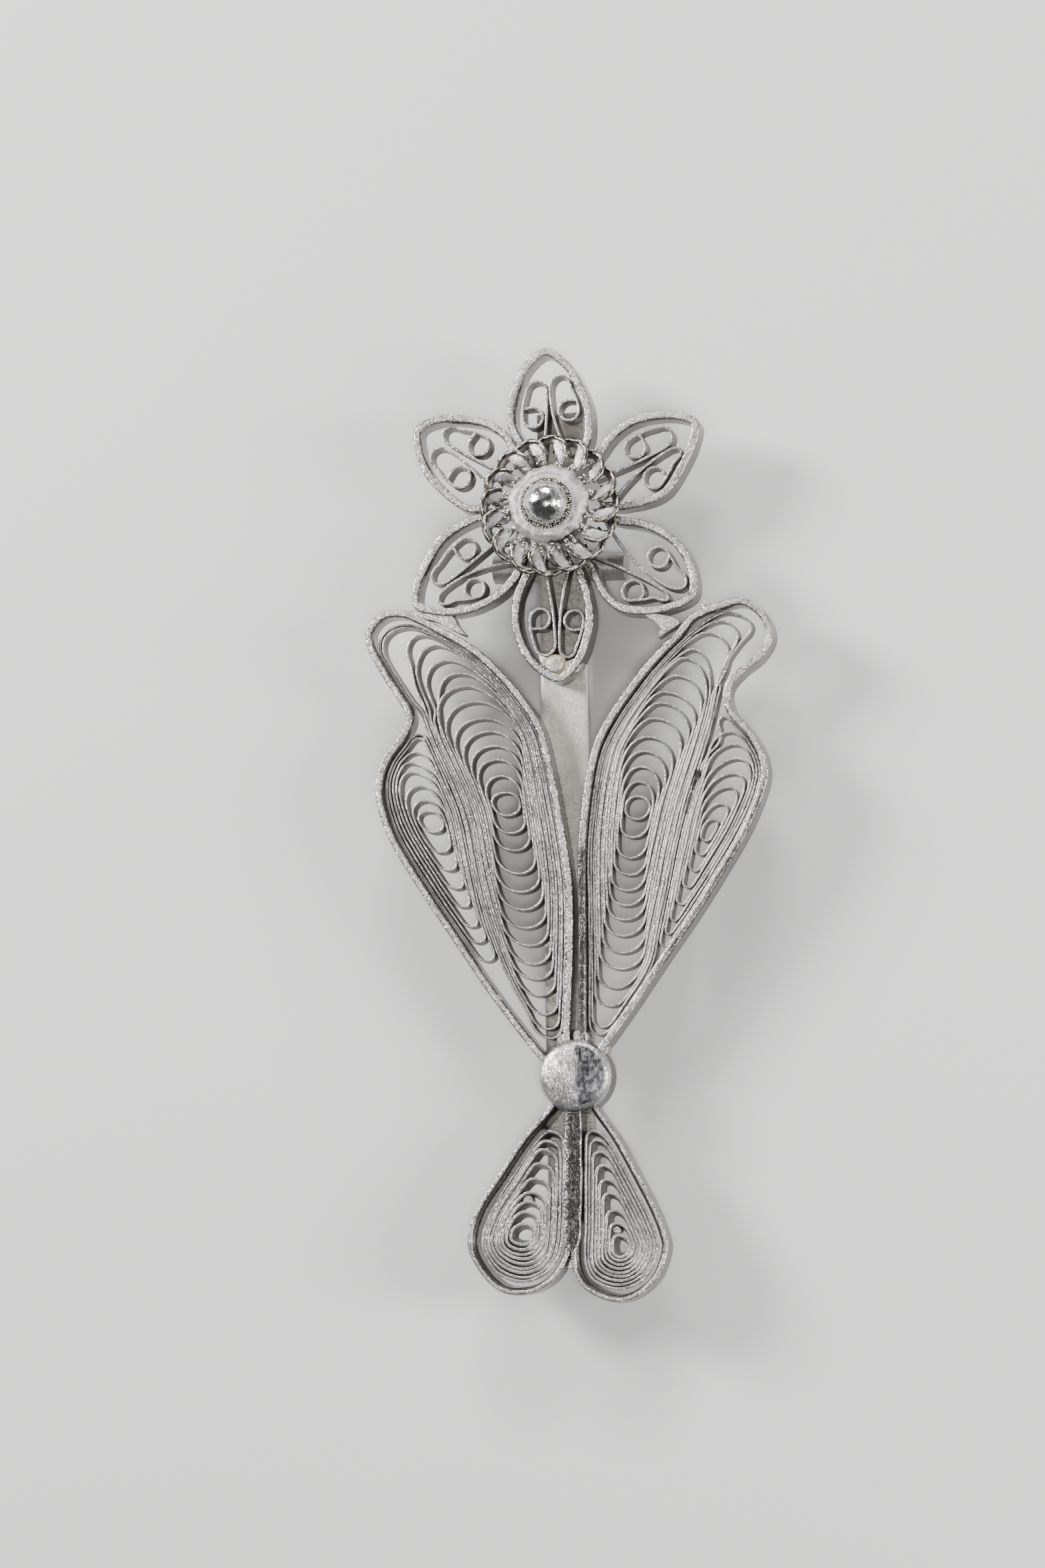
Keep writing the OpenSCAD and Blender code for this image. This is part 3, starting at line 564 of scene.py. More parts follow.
# For each scroll of a petal: its side, stem_v, neck_u, neck_v, turn_u, turn_v, curl_u, curl_v and curl_r
SCROLLS = {
    "top": ((1, 0.5, 9.1, 0.2, 9.85, 1.0, 7.05, 1.33, 0.78),
            (-1, -1.15, 9.2, -0.05, 10.2, -0.85, 7.45, -1.5, 0.8)),
    "upper_left": ((-1, -0.3, 9.5, 0.1, 10.55, -0.6, 7.57, -1.08, 0.82),
                   (1, 1.3, 9.4, 0.5, 10.4, 1.3, 7.42, 1.75, 0.83)),
    "lower_left": ((-1, -0.6, 9.5, -0.4, 10.6, -1.15, 7.08, -1.6, 0.8),
                   (1, 1.7, 10.1, -0.1, 11.15, 0.5, 8.33, 1.35, 0.78)),
    "bottom": ((-1, -0.7, 10.4, -0.08, 11.3, -0.9, 8.48, -1.2, 0.78),
               (1, 1.25, 10.9, 0.22, 11.6, 0.85, 8.8, 1.42, 0.76)),
    "lower_right": ((1, 0.9, 10.9, -0.8, 12.2, 0.0, 9.25, 0.8, 0.8),
                    (-1, -1.65, 10.6, -1.15, 11.6, -1.55, 8.92, -2.35, 0.83)),
    "upper_right": ((1, 0.1, 9.8, -0.35, 10.75, 0.5, 7.77, 0.8, 0.8),
                    (-1, -1.9, 9.9, -0.65, 10.75, -1.15, 7.98, -2.0, 0.83))}
SCROLL_FOOT, STEM_STRAIGHT, SCROLL_BULGE = 3.9, 4.6, 0.4


def scroll_line(petal, side, stem_v, neck_u, neck_v, turn_u, turn_v, curl_u, curl_v, curl_r):
    """Centre line of one scroll: its stem, the turn at its neck, the run back along the frame, the curl, and
    the straight end of the ribbon that comes up against the run."""
    uv = []
    for u in np.linspace(SCROLL_FOOT, neck_u, 16, endpoint=False):
        t = (u - STEM_STRAIGHT) / (neck_u - STEM_STRAIGHT)
        uv.append((u, stem_v + (neck_v - stem_v) * (1 - (1 - t) ** 2)))
    for a in np.linspace(0, pi, 17):
        uv.append((neck_u + (turn_u - neck_u) * sin(a), turn_v - (turn_v - neck_v) * cos(a)))
    run_from, run_to = np.array([neck_u, 2 * turn_v - neck_v]), np.array([curl_u, curl_v + side * curl_r])

    def on_run(t):
        u, v = run_from + (run_to - run_from) * t
        return u, v + side * SCROLL_BULGE * t * (1 - t)
    uv += [on_run(t) for t in np.linspace(0.12, 0.9, 8)]
    for a in np.radians(np.linspace(90, 352, 30)):
        uv.append((curl_u + curl_r * cos(a), curl_v + side * curl_r * sin(a)))
    end_u = curl_u + 0.9 * curl_r
    start, end = np.array(uv[-1]), np.array([end_u, on_run((neck_u - end_u) / (neck_u - curl_u))[1]])
    uv += [start + (end - start) * t for t in np.linspace(0.2, 1, 5)]
    return in_petal(petal, uv)


def ribbon_section(w, h):
    """Section of a ribbon on edge with rounded corners, burnished along its top edge and lightened there by
    painted sheen, its sides below darkened by painted shade.
    """
    low, top = 0.03, 0.055
    pts = []
    for way, r, z, start, steps in ((-1, low, low, 270, 1), (-1, top, h - top, 180, 2),
                                    (1, top, h - top, 90, 2), (1, low, low, 0, 1)):
        for a in (radians(start - 90 * i / steps) for i in range(steps + 1)):
            pts.append((way * (w / 2 - r) + r * cos(a), z + r * sin(a)))
    pts = np.array(pts)
    below = h - pts[:, 1]
    deep = np.select([below < 0.03, below < 0.06], [0, 0.3], 0.95)
    return np.column_stack([pts, np.where(below < 0.06, 0.75, 0), deep])


def ribbon(parts, line, z, w, h, seed, wave=0.03, **how):
    """A ribbon on edge whose top is finely beaded and rises and falls by wave."""
    def warp(s, a, height):
        top = np.clip(height / h, 0, 1) ** 4
        bead = 0.006 * np.sin(2 * np.pi * s / 0.31 + 9 * smooth_noise(s, 1.1, seed, 1.0) + seed)[:, None]
        rise = smooth_noise(s, 3.5, seed + 2, wave)[:, None] - wave * 0.7
        return bead * np.sign(a) * top, (rise + bead) * top
    sweep(parts, line, z, ribbon_section(w, h), warp=warp, **how)


def scroll_pair(name, seed):
    parts = Parts()
    for k, row in enumerate(SCROLLS[name]):
        line = soften(even(scroll_line(name, *row), 0.09), 4)
        ribbon(parts, line, SCROLL_TOP - SCROLL_H, 0.2, SCROLL_H, seed + 50 * k, wave=0.06)
    parts.make("scroll_ribbons_" + name, [FROST], replaces=("scrolls_" + name,))


for i, name in enumerate(PETALS):
    scroll_pair(name, 40 + i)

# ---------------------------------------------------------------- coils

MEET_LEFT = [(-11.5, 8.3), (-10.6, 6.0), (-9.65, 4.0), (-8.6, 1.7), (-7.9, -0.3), (-7.1, -4.0), (-6.0, -8.0),
             (-4.3, -12.0), (-2.9, -14.5), (-1.5, -17.5)]
MEET_RIGHT = [(11.7, 9.3), (11.2, 7.0), (10.3, 4.0), (9.35, 1.0), (8.65, -2.0), (8.05, -5.0), (7.35, -8.6),
              (6.9, -10.8), (6.0, -12.6), (5.0, -14.2), (3.0, -17.5)]


def way_down(p, step):
    """The points of a closed line from its top to its lowest point, forwards or backwards, without rises."""
    n, top, low = len(p), int(np.argmax(p[:, 1])), int(np.argmin(p[:, 1]))
    run = [p[(top + step * i) % n] for i in range((step * (low - top)) % n + 1)]
    out, y = [], run[0][1] + 1
    for q in run:
        if q[1] < y - 0.005:
            out.append(q)
            y = q[1]
    return np.array(out)


def sides(table, wire):
    """The left and the right side of the room inside a frame, each from its top down."""
    p = inset(closed_curve(table, 5), wire + GAP)
    p = p[norm(p - BUTTON_AT, axis=1) > BUTTON_R - 0.2]
    a, b = way_down(p, 1), way_down(p, -1)
    return (a, b) if a[len(a) // 2][0] < b[len(b) // 2][0] else (b, a)


def x_of(side, y):
    return np.interp(y, side[::-1, 1], side[::-1, 0])


def met(line, dx, side, limit):
    """The line moved by dx, and kept inside a side by limit, np.maximum or np.minimum."""
    return np.column_stack([limit(line[:, 0] + dx, x_of(side, line[:, 1])), line[:, 1]])


def coil_rooms():
    ll, lr = sides(LEAF_LEFT, LEAF_WIRE)
    rl, rr = sides(LEAF_RIGHT, LEAF_WIRE)
    ml, mr = open_curve(MEET_LEFT, 4), open_curve(MEET_RIGHT, 4)
    nl, nr = MEET_LEFT[0][1], MEET_RIGHT[0][1]
    return {
        "left_inner": (np.vstack([ll[ll[:, 1] > nl + 0.3], met(ml, GAP / 2, ll, np.maximum)]), lr),
        "left_outer": (ll[ll[:, 1] < nl - 0.1], met(ml, -GAP / 2, ll, np.maximum)),
        "right_inner": (rl, np.vstack([rr[rr[:, 1] > nr + 0.3], met(mr, -GAP / 2, rr, np.minimum)])),
        "right_outer": (met(mr, GAP / 2, rr, np.minimum), rr[rr[:, 1] < nr - 0.1]),
        "tail_left": sides(TAIL_LEFT, TAIL_WIRE), "tail_right": sides(TAIL_RIGHT, TAIL_WIRE)}


# Crowns of the upper and of the lower arcs from the outside in, spacing of the loops on the left and on the
# right side, each at the top and at the bottom, and how far the ends of the arcs hang down in widths of the
# arc: upper left, upper right, lower left, lower right
COILS = {
    "left_inner": (
        [(-12.6, 15.15), (-12.5, 14.95), (-11.55, 14.35), (-10.45, 13.55), (-9.45, 12.4), (-8.25, 11.3),
         (-7.95, 10.3), (-7.05, 9.1), (-6.5, 7.8), (-6.0, 6.8), (-5.6, 5.7), (-5.4, 4.65), (-5.05, 3.4),
         (-4.7, 2.15)],
        [(-0.8, -16.45), (-1.0, -15.75), (-1.45, -14.65), (-1.9, -13.25), (-2.1, -12.05), (-2.45, -10.9),
         (-2.65, -9.5), (-3.05, -8.15), (-3.25, -6.8), (-3.45, -5.45), (-3.55, -4.05), (-4.0, -2.3),
         (-4.3, -1.0), (-4.7, 0.35)],
        (0.18, 0.19), (0.14, 0.24), (0.55, 0.5, 0.5, 0.4)),
    "left_outer": (
        [(-11.4, 6.75), (-11.5, 6.45), (-11.8, 5.35), (-12.3, 4.55), (-12.1, 3.85), (-11.25, 2.7),
         (-10.8, 1.6), (-10.55, 0.8)],
        [(-6.0, -10.65), (-6.7, -9.25), (-7.2, -8.05), (-7.8, -6.55), (-8.3, -5.15), (-8.95, -3.75),
         (-9.7, -2.4), (-10.25, -0.85)],
        (0.25, 0.3), (0.2, 0.17), (0.6, 0.9, 0.5, 0.5)),
    "right_inner": (
        [(12.05, 15.45), (11.45, 14.75), (10.6, 13.95), (9.55, 12.7), (8.85, 12.05), (8.2, 10.75),
         (7.25, 9.5), (6.95, 8.7), (6.6, 7.55), (6.15, 6.15), (5.9, 5.05), (5.7, 3.9), (5.6, 2.75),
         (5.45, 1.7)],
        [(2.9, -16.2), (3.3, -15.65), (3.75, -14.05), (4.0, -12.7), (4.4, -11.3), (4.45, -10.1),
         (4.55, -8.85), (4.6, -7.65), (4.75, -6.55), (4.8, -5.45), (5.0, -4.25), (5.05, -3.0), (5.2, -1.45),
         (5.5, -0.1)],
        (0.18, 0.21), (0.2, 0.2), (0.5, 0.8, 0.45, 0.45)),
    "right_outer": (
        [(12.0, 7.6), (12.5, 6.4), (12.8, 5.45), (13.05, 4.35), (12.7, 3.25), (12.35, 2.25), (11.7, 1.0),
         (11.1, -0.15)],
        [(8.1, -9.65), (8.5, -8.8), (8.85, -7.8), (9.35, -6.55), (9.9, -5.3), (10.35, -4.05), (10.85, -2.85),
         (11.05, -1.85)],
        (0.2, 0.2), (0.23, 0.23), (0.7, 0.5, 0.4, 0.4)),
    "tail_left": (
        [(-1.0, -23.3), (-1.3, -24.0), (-1.65, -24.65), (-1.8, -25.65), (-2.2, -26.8), (-2.45, -27.8),
         (-2.55, -28.5), (-2.65, -29.25), (-2.7, -30.15)],
        [(-2.8, -34.45), (-2.8, -34.15), (-2.8, -33.8), (-2.8, -33.5), (-2.8, -33.15), (-2.8, -32.8),
         (-2.8, -32.45), (-2.8, -32.1), (-2.8, -31.7)], (0.27, 0.27), (0.27, 0.27), (0.5, 0.6, 0.5, 0.5)),
    "tail_right": (
        [(2.35, -23.25), (2.7, -23.9), (2.95, -24.8), (3.2, -25.8), (3.5, -26.85), (3.75, -27.85),
         (4.05, -29.1), (4.25, -30.05), (4.4, -30.9)],
        [(4.55, -34.9), (4.55, -34.6), (4.55, -34.3), (4.6, -34.0), (4.6, -33.75), (4.6, -33.45),
         (4.6, -33.15), (4.6, -32.85), (4.6, -32.6)], (0.26, 0.26), (0.26, 0.26), (0.5, 0.6, 0.5, 0.5)),
}
# Strands that leave their loop's round: the loop and the points they pass instead
BENDS = {
    "left_inner": {
        2: [(-11.2, 9.0), (-11.8, 10.2), (-12.15, 11.7), (-12.55, 13.2), (-12.2, 14.1), (-11.55, 14.35)],
        3: [(-10.7, 8.6), (-11.5, 10.4), (-11.8, 11.55), (-11.7, 12.4), (-11.25, 13.2), (-10.45, 13.52)],
        4: [(-10.2, 8.5), (-10.75, 9.75), (-11.0, 10.8), (-10.7, 11.75), (-10.1, 12.2), (-9.45, 12.38)],
        5: [(-9.9, 7.6), (-10.05, 8.8), (-10.0, 9.9), (-9.8, 10.65), (-9.2, 11.2), (-8.3, 11.3)],
    },
    "right_inner": {
        0: [(12.05, 15.45), (13.2, 15.15), (13.95, 14.65), (14.1, 14.25), (13.8, 13.65), (13.3, 13.2),
            (12.8, 12.55), (12.45, 12.05), (12.05, 11.3), (11.65, 10.45)],
        1: [(11.45, 14.8), (12.3, 14.65), (12.95, 13.95), (13.0, 13.35), (12.7, 12.7), (12.25, 11.8),
            (11.5, 10.2)],
    },
    "right_outer": {
        0: [(11.0, 4.9), (11.6, 5.5), (11.8, 6.4), (11.6, 7.1), (11.75, 7.5), (12.0, 7.6)],
    },
}
STRAND_W, STRAND_STEP = 0.168, 0.16


def unit(v):
    return v / max(norm(v), 1e-9)


def cross2(a, b):
    return a[0] * b[1] - a[1] * b[0]


def quarter_turn(p, tp, q, tq, steps):
    """A curve that leaves p along tp and comes to q along tq."""
    d = norm(q - p)
    det = cross2(tp, -tq)
    a = cross2(q - p, -tq) / det if abs(det) > 0.2 else 0.7 * d
    b = abs(cross2(tp, q - p) / det) if abs(det) > 0.2 else 0.7 * d
    c1 = p + tp * 0.56 * clamp(a, 0.2 * d, 1.1 * d)
    c2 = q - tq * 0.56 * clamp(b, 0.2 * d, 1.1 * d)
    t = np.linspace(0, 1, steps + 1)[:, None]
    s = 1 - t
    return s ** 3 * p + 3 * s * s * t * c1 + 3 * s * t * t * c2 + t ** 3 * q


class Coil:
    """The loops of one coil, each inside the one before it, along two sides that lean."""

    def __init__(self, name):
        self.bends = BENDS.get(name, {})
        self.tops, self.lows, self.pl, self.pr, self.drops = COILS[name]
        self.left, self.right = ROOMS[name]

    def side_at(self, o, y, side, pair):
        high, low = self.tops[0][1], self.lows[0][1]
        spacing = pair[1] + (pair[0] - pair[1]) * clamp((y - low) / (high - low))
        slope = (x_of(side, y + 0.2) - x_of(side, y - 0.2)) / 0.4
        return np.array([x_of(side, y) + o * spacing * sqrt(1 + min(slope * slope, 4)), y])

    def left_at(self, o, y):
        return self.side_at(o, y, self.left, self.pl)

    def right_at(self, o, y):
        return self.side_at(-o, y, self.right, self.pr)

    def kept(self, o, q):
        l, r = self.left_at(o, q[1])[0], self.right_at(o, q[1])[0]
        return np.array([(l + r) / 2 if l > r else clamp(q[0], l, r), q[1]])

    def arc(self, o, k, s, packed):
        """The arc that closes loop k at its upper (s = 1) or lower end, from left to right."""
        top, low = self.tops[k][1], self.lows[k][1]
        x, y = self.tops[k] if s > 0 else self.lows[k]
        yw = y - 0.8 * s if packed else y
        w = max(0.5, self.right_at(o, yw)[0] - self.left_at(o, yw)[0])
        dl, dr = self.drops[:2] if s > 0 else self.drops[2:]
        f = min(1, 0.92 * (top - low) / w / (dl + dr))
        yl, yr = y - s * w * dl * f, y - s * w * dr * f
        pl, pr = self.left_at(o, yl), self.right_at(o, yr)
        tl = unit(self.left_at(o, yl + 0.1 * s) - pl)
        tr = unit(self.right_at(o, yr + 0.1 * s) - pr)
        margin = 0.2 * (pr[0] - pl[0])
        crown = np.array([clamp(x, pl[0] + margin, pr[0] - margin), y])
        along = unit(np.array([pr[0] - pl[0], 0.2 * (pr[1] - pl[1])]))
        pts = np.vstack([quarter_turn(pl, tl, crown, along, 14), quarter_turn(crown, along, pr, -tr, 14)[1:]])
        return np.array([self.kept(o, q) for q in pts])

    def loop(self, k, packed_top, packed_low):
        o = k + 0.5
        top = self.arc(o, k, 1, k < packed_top)
        low = self.arc(o, k, -1, k < packed_low)
        run_r = [self.right_at(o, y) for y in np.arange(top[-1][1] - 0.25, low[-1][1] + 0.25, -0.25)]
        run_l = [self.left_at(o, y) for y in np.arange(top[0][1] - 0.25, low[0][1] + 0.25, -0.25)]
        pts = even(np.array(list(top) + run_r + list(low[::-1]) + run_l[::-1]), STRAND_STEP, True)
        if k in self.bends:
            bend = np.array(self.bends[k])
            i, j = (int(np.argmin(norm(pts - q, axis=1))) for q in (bend[0], bend[-1]))
            rest = np.vstack([pts[(j + 4 + m) % len(pts)] for m in range((i - j - 8) % len(pts))])
            pts = even(np.vstack([open_curve(bend, 10), rest]), STRAND_STEP, True)
        return soften(pts, 4, True)


ROOMS = coil_rooms()


def coil_ribbons(name, seed, lean=0.0, w=STRAND_W, packed=(0, 0)):
    c = Coil(name)
    parts = Parts()
    for k in range(len(c.tops)):
        line = clockwise(c.loop(k, *packed))
        i = np.arange(len(line))
        shift = smooth_noise(i * STRAND_STEP, 2.2, seed + k, 0.035)
        blend = np.minimum(1, np.minimum(i, i[::-1]) / 8)
        line = line + left_of(tangents(line, True)) * (shift * blend)[:, None]
        rise = 0.05 * sin(2.4 * k + seed)
        ribbon(parts, line, COIL_Z + rise - 0.05, w, COIL_H, seed + 13 * k, closed=True, lean=-lean)
    parts.make("coil_ribbons_" + name, [FROST], replaces=("coil_" + name,))


coil_ribbons("left_inner", 100, packed=(3, 1))
coil_ribbons("left_outer", 200)
coil_ribbons("right_inner", 300, packed=(1, 1))
coil_ribbons("right_outer", 400)
coil_ribbons("tail_left", 500, lean=0.25, w=0.235)
coil_ribbons("tail_right", 600, lean=0.25, w=0.225)

# ---------------------------------------------------------------- lathed pieces

LOOP_Z = 6.65
COLLAR_TOP = LOOP_Z + 1.2
BALL_R = 1.8
BALL_Z = COLLAR_TOP - 0.25


def polar(centre, r, a):
    return centre[0] + r * cos(a), centre[1] + r * sin(a)


def lathe(parts, profile, centre, steps, warp):
    """The profile's rows are radius, z, wear and deep, from the axis at the bottom, out, and back to the axis
    at the top. warp(a, r, z) gives moves of a point along radius and z."""
    profile = np.array(profile, float)
    m = len(profile)
    verts = []
    for a in (2 * pi * i / steps for i in range(steps)):
        for r, z in profile[:, :2]:
            dr, dz = warp(a, r, z)
            verts.append((*polar(centre, r + dr, a), z + dz))
    ends = [tuple(reversed(range(0, steps * m, m))), tuple(range(m - 1, steps * m, m))]
    parts.add(verts, quads(steps, m, wrap=False) + ends, *np.tile(profile[:, 2:].T, steps))


def button():
    parts = Parts()
    r, z0 = BUTTON_R, FRAME_Z
    # the fourth column is painted shade: full on its side, none on its dome
    prof = [(0.05, z0, 0.2, 1), (r - 0.08, z0, 0.2, 1), (r, z0 + 0.08, 0.4, 1), (r, z0 + 1.1, 0.8, 1),
            (r, z0 + 1.66, 1, 0.9), (r, z0 + 1.76, 1, 0.2), (r - 0.03, z0 + 1.88, 1, 0),
            (r - 0.12, z0 + 1.99, 1, 0)]
    for a in (pi / 2 * i / 22 for i in range(1, 22)):
        prof.append(((r - 0.14) * cos(a), z0 + 2.0 + 0.58 * sin(a), 0.7, 0))
    prof.append((0.02, z0 + 2.59, 0.7, 0))

    def dents(a, rr, z):
        if z < z0 + 1.8:
            return 0, 0
        p = Vector((rr * cos(a) * 0.7, rr * sin(a) * 0.7, 2.0))
        return 0, (0.05 * noise.noise(p) + 0.02 * noise.noise(p * 3)) * (1 if rr < r - 0.3 else 0.4) - 0.02
    lathe(parts, prof, BUTTON_AT, 96, dents)
    # its right half is painted dark in blotches as a dark reflection, up to a bright rim
    for i, v in enumerate(parts.verts[0]):
        x, y = (v[0] - BUTTON_AT[0]) / r, (v[1] - BUTTON_AT[1]) / r
        if v[2] > z0 + 1.95:
            patch = noise_at(x * 4, y * 4, 5.0)
            dark = clamp((x + 0.02 + 0.25 * patch) / 0.22) * clamp((0.9 - hypot(x, y)) / 0.1)
            parts.deep[0][i] = dark * (1.1 + 0.45 * noise_at(x * 9, y * 9, 1.0))
    parts.make("button_dome", [BUTTON], sharp=60, replaces=("waist_button",))


def collar():
    """A ring of matte solder with a shallow groove round it, uneven at its rim, and the cup of the ball."""
    parts = Parts()
    cup, top, cup_z = BALL_R + 0.06, COLLAR_TOP, BALL_Z - BALL_R
    # The fourth column is painted shade: full on its underside and in the cup, some under its shoulder and in
    # the groove
    prof = [(0.05, FRAME_Z, 0, 1), (2.4, FRAME_Z, 0, 1), (2.5, FRAME_Z + 0.3, 0, 1)]
    prof += [(r, top - below, wear, deep) for r, below, wear, deep in (
        (2.4, 1.0, 0, 1), (2.75, 0.82, 0, 0.8), (2.98, 0.7, 0.1, 0.5), (3.05, 0.58, 0.1, 0.15),
        (2.98, 0.42, 0.1, 0), (2.85, 0.26, 0.1, 0), (2.66, 0.12, 0, 0), (2.46, 0.04, 0, 0),
        (2.32, 0.05, 0, 0.1), (2.24, 0.07, 0, 0.2), (2.16, 0.05, 0, 0.1), (2.08, 0.02, 0.2, 0),
        (2.0, 0.02, 0.2, 0), (1.93, 0.08, 0.2, 0.5), (cup, 0.2, 0.2, 0.9), (cup - 0.02, 0.7, 0.2, 1))]
    prof += [(0.8, cup_z - 0.08, 0, 1), (0.02, cup_z - 0.06, 0, 1)]

    def lumps(a, r, z):
        p = Vector((r * cos(a) * 1.1, r * sin(a) * 1.1, z))
        if z <= top - 1.05:
            return 0, 0
        fine = 0.02 * noise.noise(p * 4)
        dr = (0.26 * noise.noise(p * 0.8) + 0.16 * noise.noise(p * 2.1) - 0.05) * (r > 2.5) + fine * (r > 1.9)
        return dr, (0.09 * noise.noise(p * 1.3) + fine - 0.05) * (r > 1.9)
    lathe(parts, prof, ROSETTE_AT, 160, lumps)
    parts.make("collar_ring", [COLLAR], sharp=60, replaces=("rosette_collar",))


def ball():
    parts = Parts()
    prof = []
    for b in (pi * i / 56 for i in range(57)):
        z = BALL_Z - BALL_R * cos(b)
        # painted shade on the part of the ball inside the cup
        prof.append((max(BALL_R * sin(b), 0.01), z, 0.7, 0.5 if z < COLLAR_TOP - 0.1 else 0))

    def dents(a, r, z):
        p = Vector((r * cos(a), r * sin(a), z)) * 1.15
        d = 0.06 * noise.noise(p) + 0.045 * noise.noise(p * 2.6) + 0.012 * noise.noise(p * 7) - 0.06
        return d * (r / BALL_R), (0.02 * noise.noise(p * 1.4) - 0.01) * (z > BALL_Z)
    lathe(parts, prof, ROSETTE_AT, 128, dents)
    # a dark reflection painted below the middle of its top
    for i, v in enumerate(parts.verts[0]):
        x, y = v[0] - ROSETTE_AT[0] - 0.1, v[1] - ROSETTE_AT[1] + 0.65
        if v[2] > COLLAR_TOP - 0.1:
            spot = hypot(x, y) / 0.85 + 0.7 * noise_at(x * 1.8, y * 1.8, 2.0)
            parts.deep[0][i] = 0.85 * clamp((1.1 - spot) / 0.35)
    parts.make("ball_dome", [BALL], sharp=80, replaces=("rosette_ball",))


button()
collar()
ball()

# ---------------------------------------------------------------- rosette

# The loops: the ring they are strung along, half length and half width, and how far one lies over the next
LOOPS, LOOP_RING, LOOP_R, LOOP_W, LOOP_RISE = 16, 4.05, 1.25, 0.95, 0.42
ROSETTE_MATERIALS, RIBBON, GRANULES = [ROPE, FROST, GRAINS], 1, 2
GRAIN_ROWS, GRAIN_COLS = 5, 8


def loop_point(t, r=LOOP_R, w=LOOP_W, z=0.0):
    turn = 2 * pi * t * LOOPS
    a = 2 * pi * t + w * sin(turn) / LOOP_RING
    xy = polar(ROSETTE_AT, LOOP_RING + r * cos(turn), a)
    return np.array([*xy, LOOP_Z + z - LOOP_RISE * sin(turn)])


def twisted_wire(parts, pts, radius, m):
    """Two strands twisted together, half a turn in each millimetre."""
    n, s, t = len(pts), lengths(pts), tangents(pts)
    side = np.cross(t, (0, 0, 1.0))
    side /= np.maximum(norm(side, axis=1), 1e-6)[:, None]
    up = np.cross(side, t)
    verts, deep = [], []
    for i in range(n):
        for a in (2 * pi * j / m for j in range(m)):
            crown = abs(cos(a - pi * s[i]))
            r = radius * (0.72 + 0.28 * crown)
            # painted shade in the valleys between the two strands
            deep.append(min(0.95, 1.3 * (1 - crown)))
            verts.append(pts[i] + r * (side[i] * cos(a) + up[i] * sin(a)))
    ends = [tuple(reversed(range(m))), tuple(range((n - 1) * m, n * m))]
    parts.add(verts, quads(n, m, closed=False, flip=True) + ends, 0.6, deep)


def grain_corner(i, j):
    """Number of the point on ring i at place j; the first and the last ring are one point each."""
    return 0 if i == 0 else 1 + (i - 1) * GRAIN_COLS + (j % GRAIN_COLS if i < GRAIN_ROWS else 0)


GRAIN_FACES = [
    tuple(dict.fromkeys(grain_corner(*c) for c in ((i, j), (i, j + 1), (i + 1, j + 1), (i + 1, j))))
    for i in range(GRAIN_ROWS) for j in range(GRAIN_COLS)]


def grain(parts, at, r, seed, mat=0):
    """One granule: a small ball pressed out of round."""
    verts = []
    for i in range(GRAIN_ROWS + 1):
        b = pi * i / GRAIN_ROWS
        for j in range(GRAIN_COLS if 0 < i < GRAIN_ROWS else 1):
            a = 2 * pi * j / GRAIN_COLS
            d = Vector((sin(b) * cos(a), sin(b) * sin(a), cos(b)))
            k = r * (1 + 0.35 * noise.noise(d * 1.3 + Vector((seed, 0, 0))))
            verts.append((at[0] + d.x * k, at[1] + d.y * k, at[2] + d.z * k))
    parts.add(verts, GRAIN_FACES, 0.8, 0.0, mat)


def wobble(t):
    """A small unevenness round the rosette, the same at both ends."""
    return sin(2 * pi * 5 * t) * sin(2 * pi * 3 * t + 1)


def tongues(parts, n):
    """The closed ribbon of the loops. Its section's rows are half length, half width where it is narrow, half
    width where it is a broad tongue, height, wear and deep; its underside is darkened by painted shade."""
    rows = [(1.2, 0.88, 0.88, -0.02, 0.2, 0.3), (1.16, 0.83, 0.8, 0.02, 0.1, 0.15),
            (1.06, 0.76, 0.58, -0.02, 0, 0), (0.92, 0.68, 0.28, -0.1, 0, 0), (0.8, 0.62, 0.04, -0.2, 0.5, 0.25)]
    rows += [(r - 0.02, v - 0.02, w - 0.02, z - 0.1, 0.3, 1.0) for r, v, w, z, _, _ in reversed(rows)]
    verts = []
    for i in range(n):
        t = (i + 0.5 * wobble(i / n)) / n
        b = clamp(-1.3 * sin(2 * pi * t * LOOPS) + 0.25)
        b = b * b * (3 - 2 * b)
        for r, narrow, broad, z, _, _ in rows:
            verts.append(loop_point(t, r + 0.03 * wobble(i / n * 3), narrow + (broad - narrow) * b, z))
    parts.add(verts, quads(n, len(rows)), *np.tile(np.array(rows)[:, 4:].T, n), RIBBON)


def rosette():
    """The ribbon of the loops, which lies at a slant inside their rim, the twisted wire round each outer arc,
    and granules at the inner ends."""
    parts = Parts()
    tongues(parts, LOOPS * 56)
    for loop in range(LOOPS):
        pts = []
        for i in range(45):
            turn = radians(-100 + 190 * i / 44)
            p = loop_point((loop + turn / (2 * pi)) / LOOPS, z=0.1)
            p[:2] += unit(p[:2] - ROSETTE_AT) * 0.03 * sin(loop * 2.3)
            pts.append(p)
        twisted_wire(parts, np.array(pts), 0.19, 12)
        rng = np.random.default_rng(100 + loop)
        for g in range(9):
            a = 2 * pi * (loop + 0.4 + rng.uniform(-0.32, 0.32)) / LOOPS
            r = rng.uniform(3.0, 3.65)
            at = (*polar(ROSETTE_AT, r, a), LOOP_Z + 0.42 + rng.uniform(-0.1, 0.2))
            grain(parts, at, rng.uniform(0.09, 0.15), loop * 9.1 + g, GRANULES)
    parts.make("rosette_ruffle", ROSETTE_MATERIALS, sharp=50, replaces=("rosette_loops",))


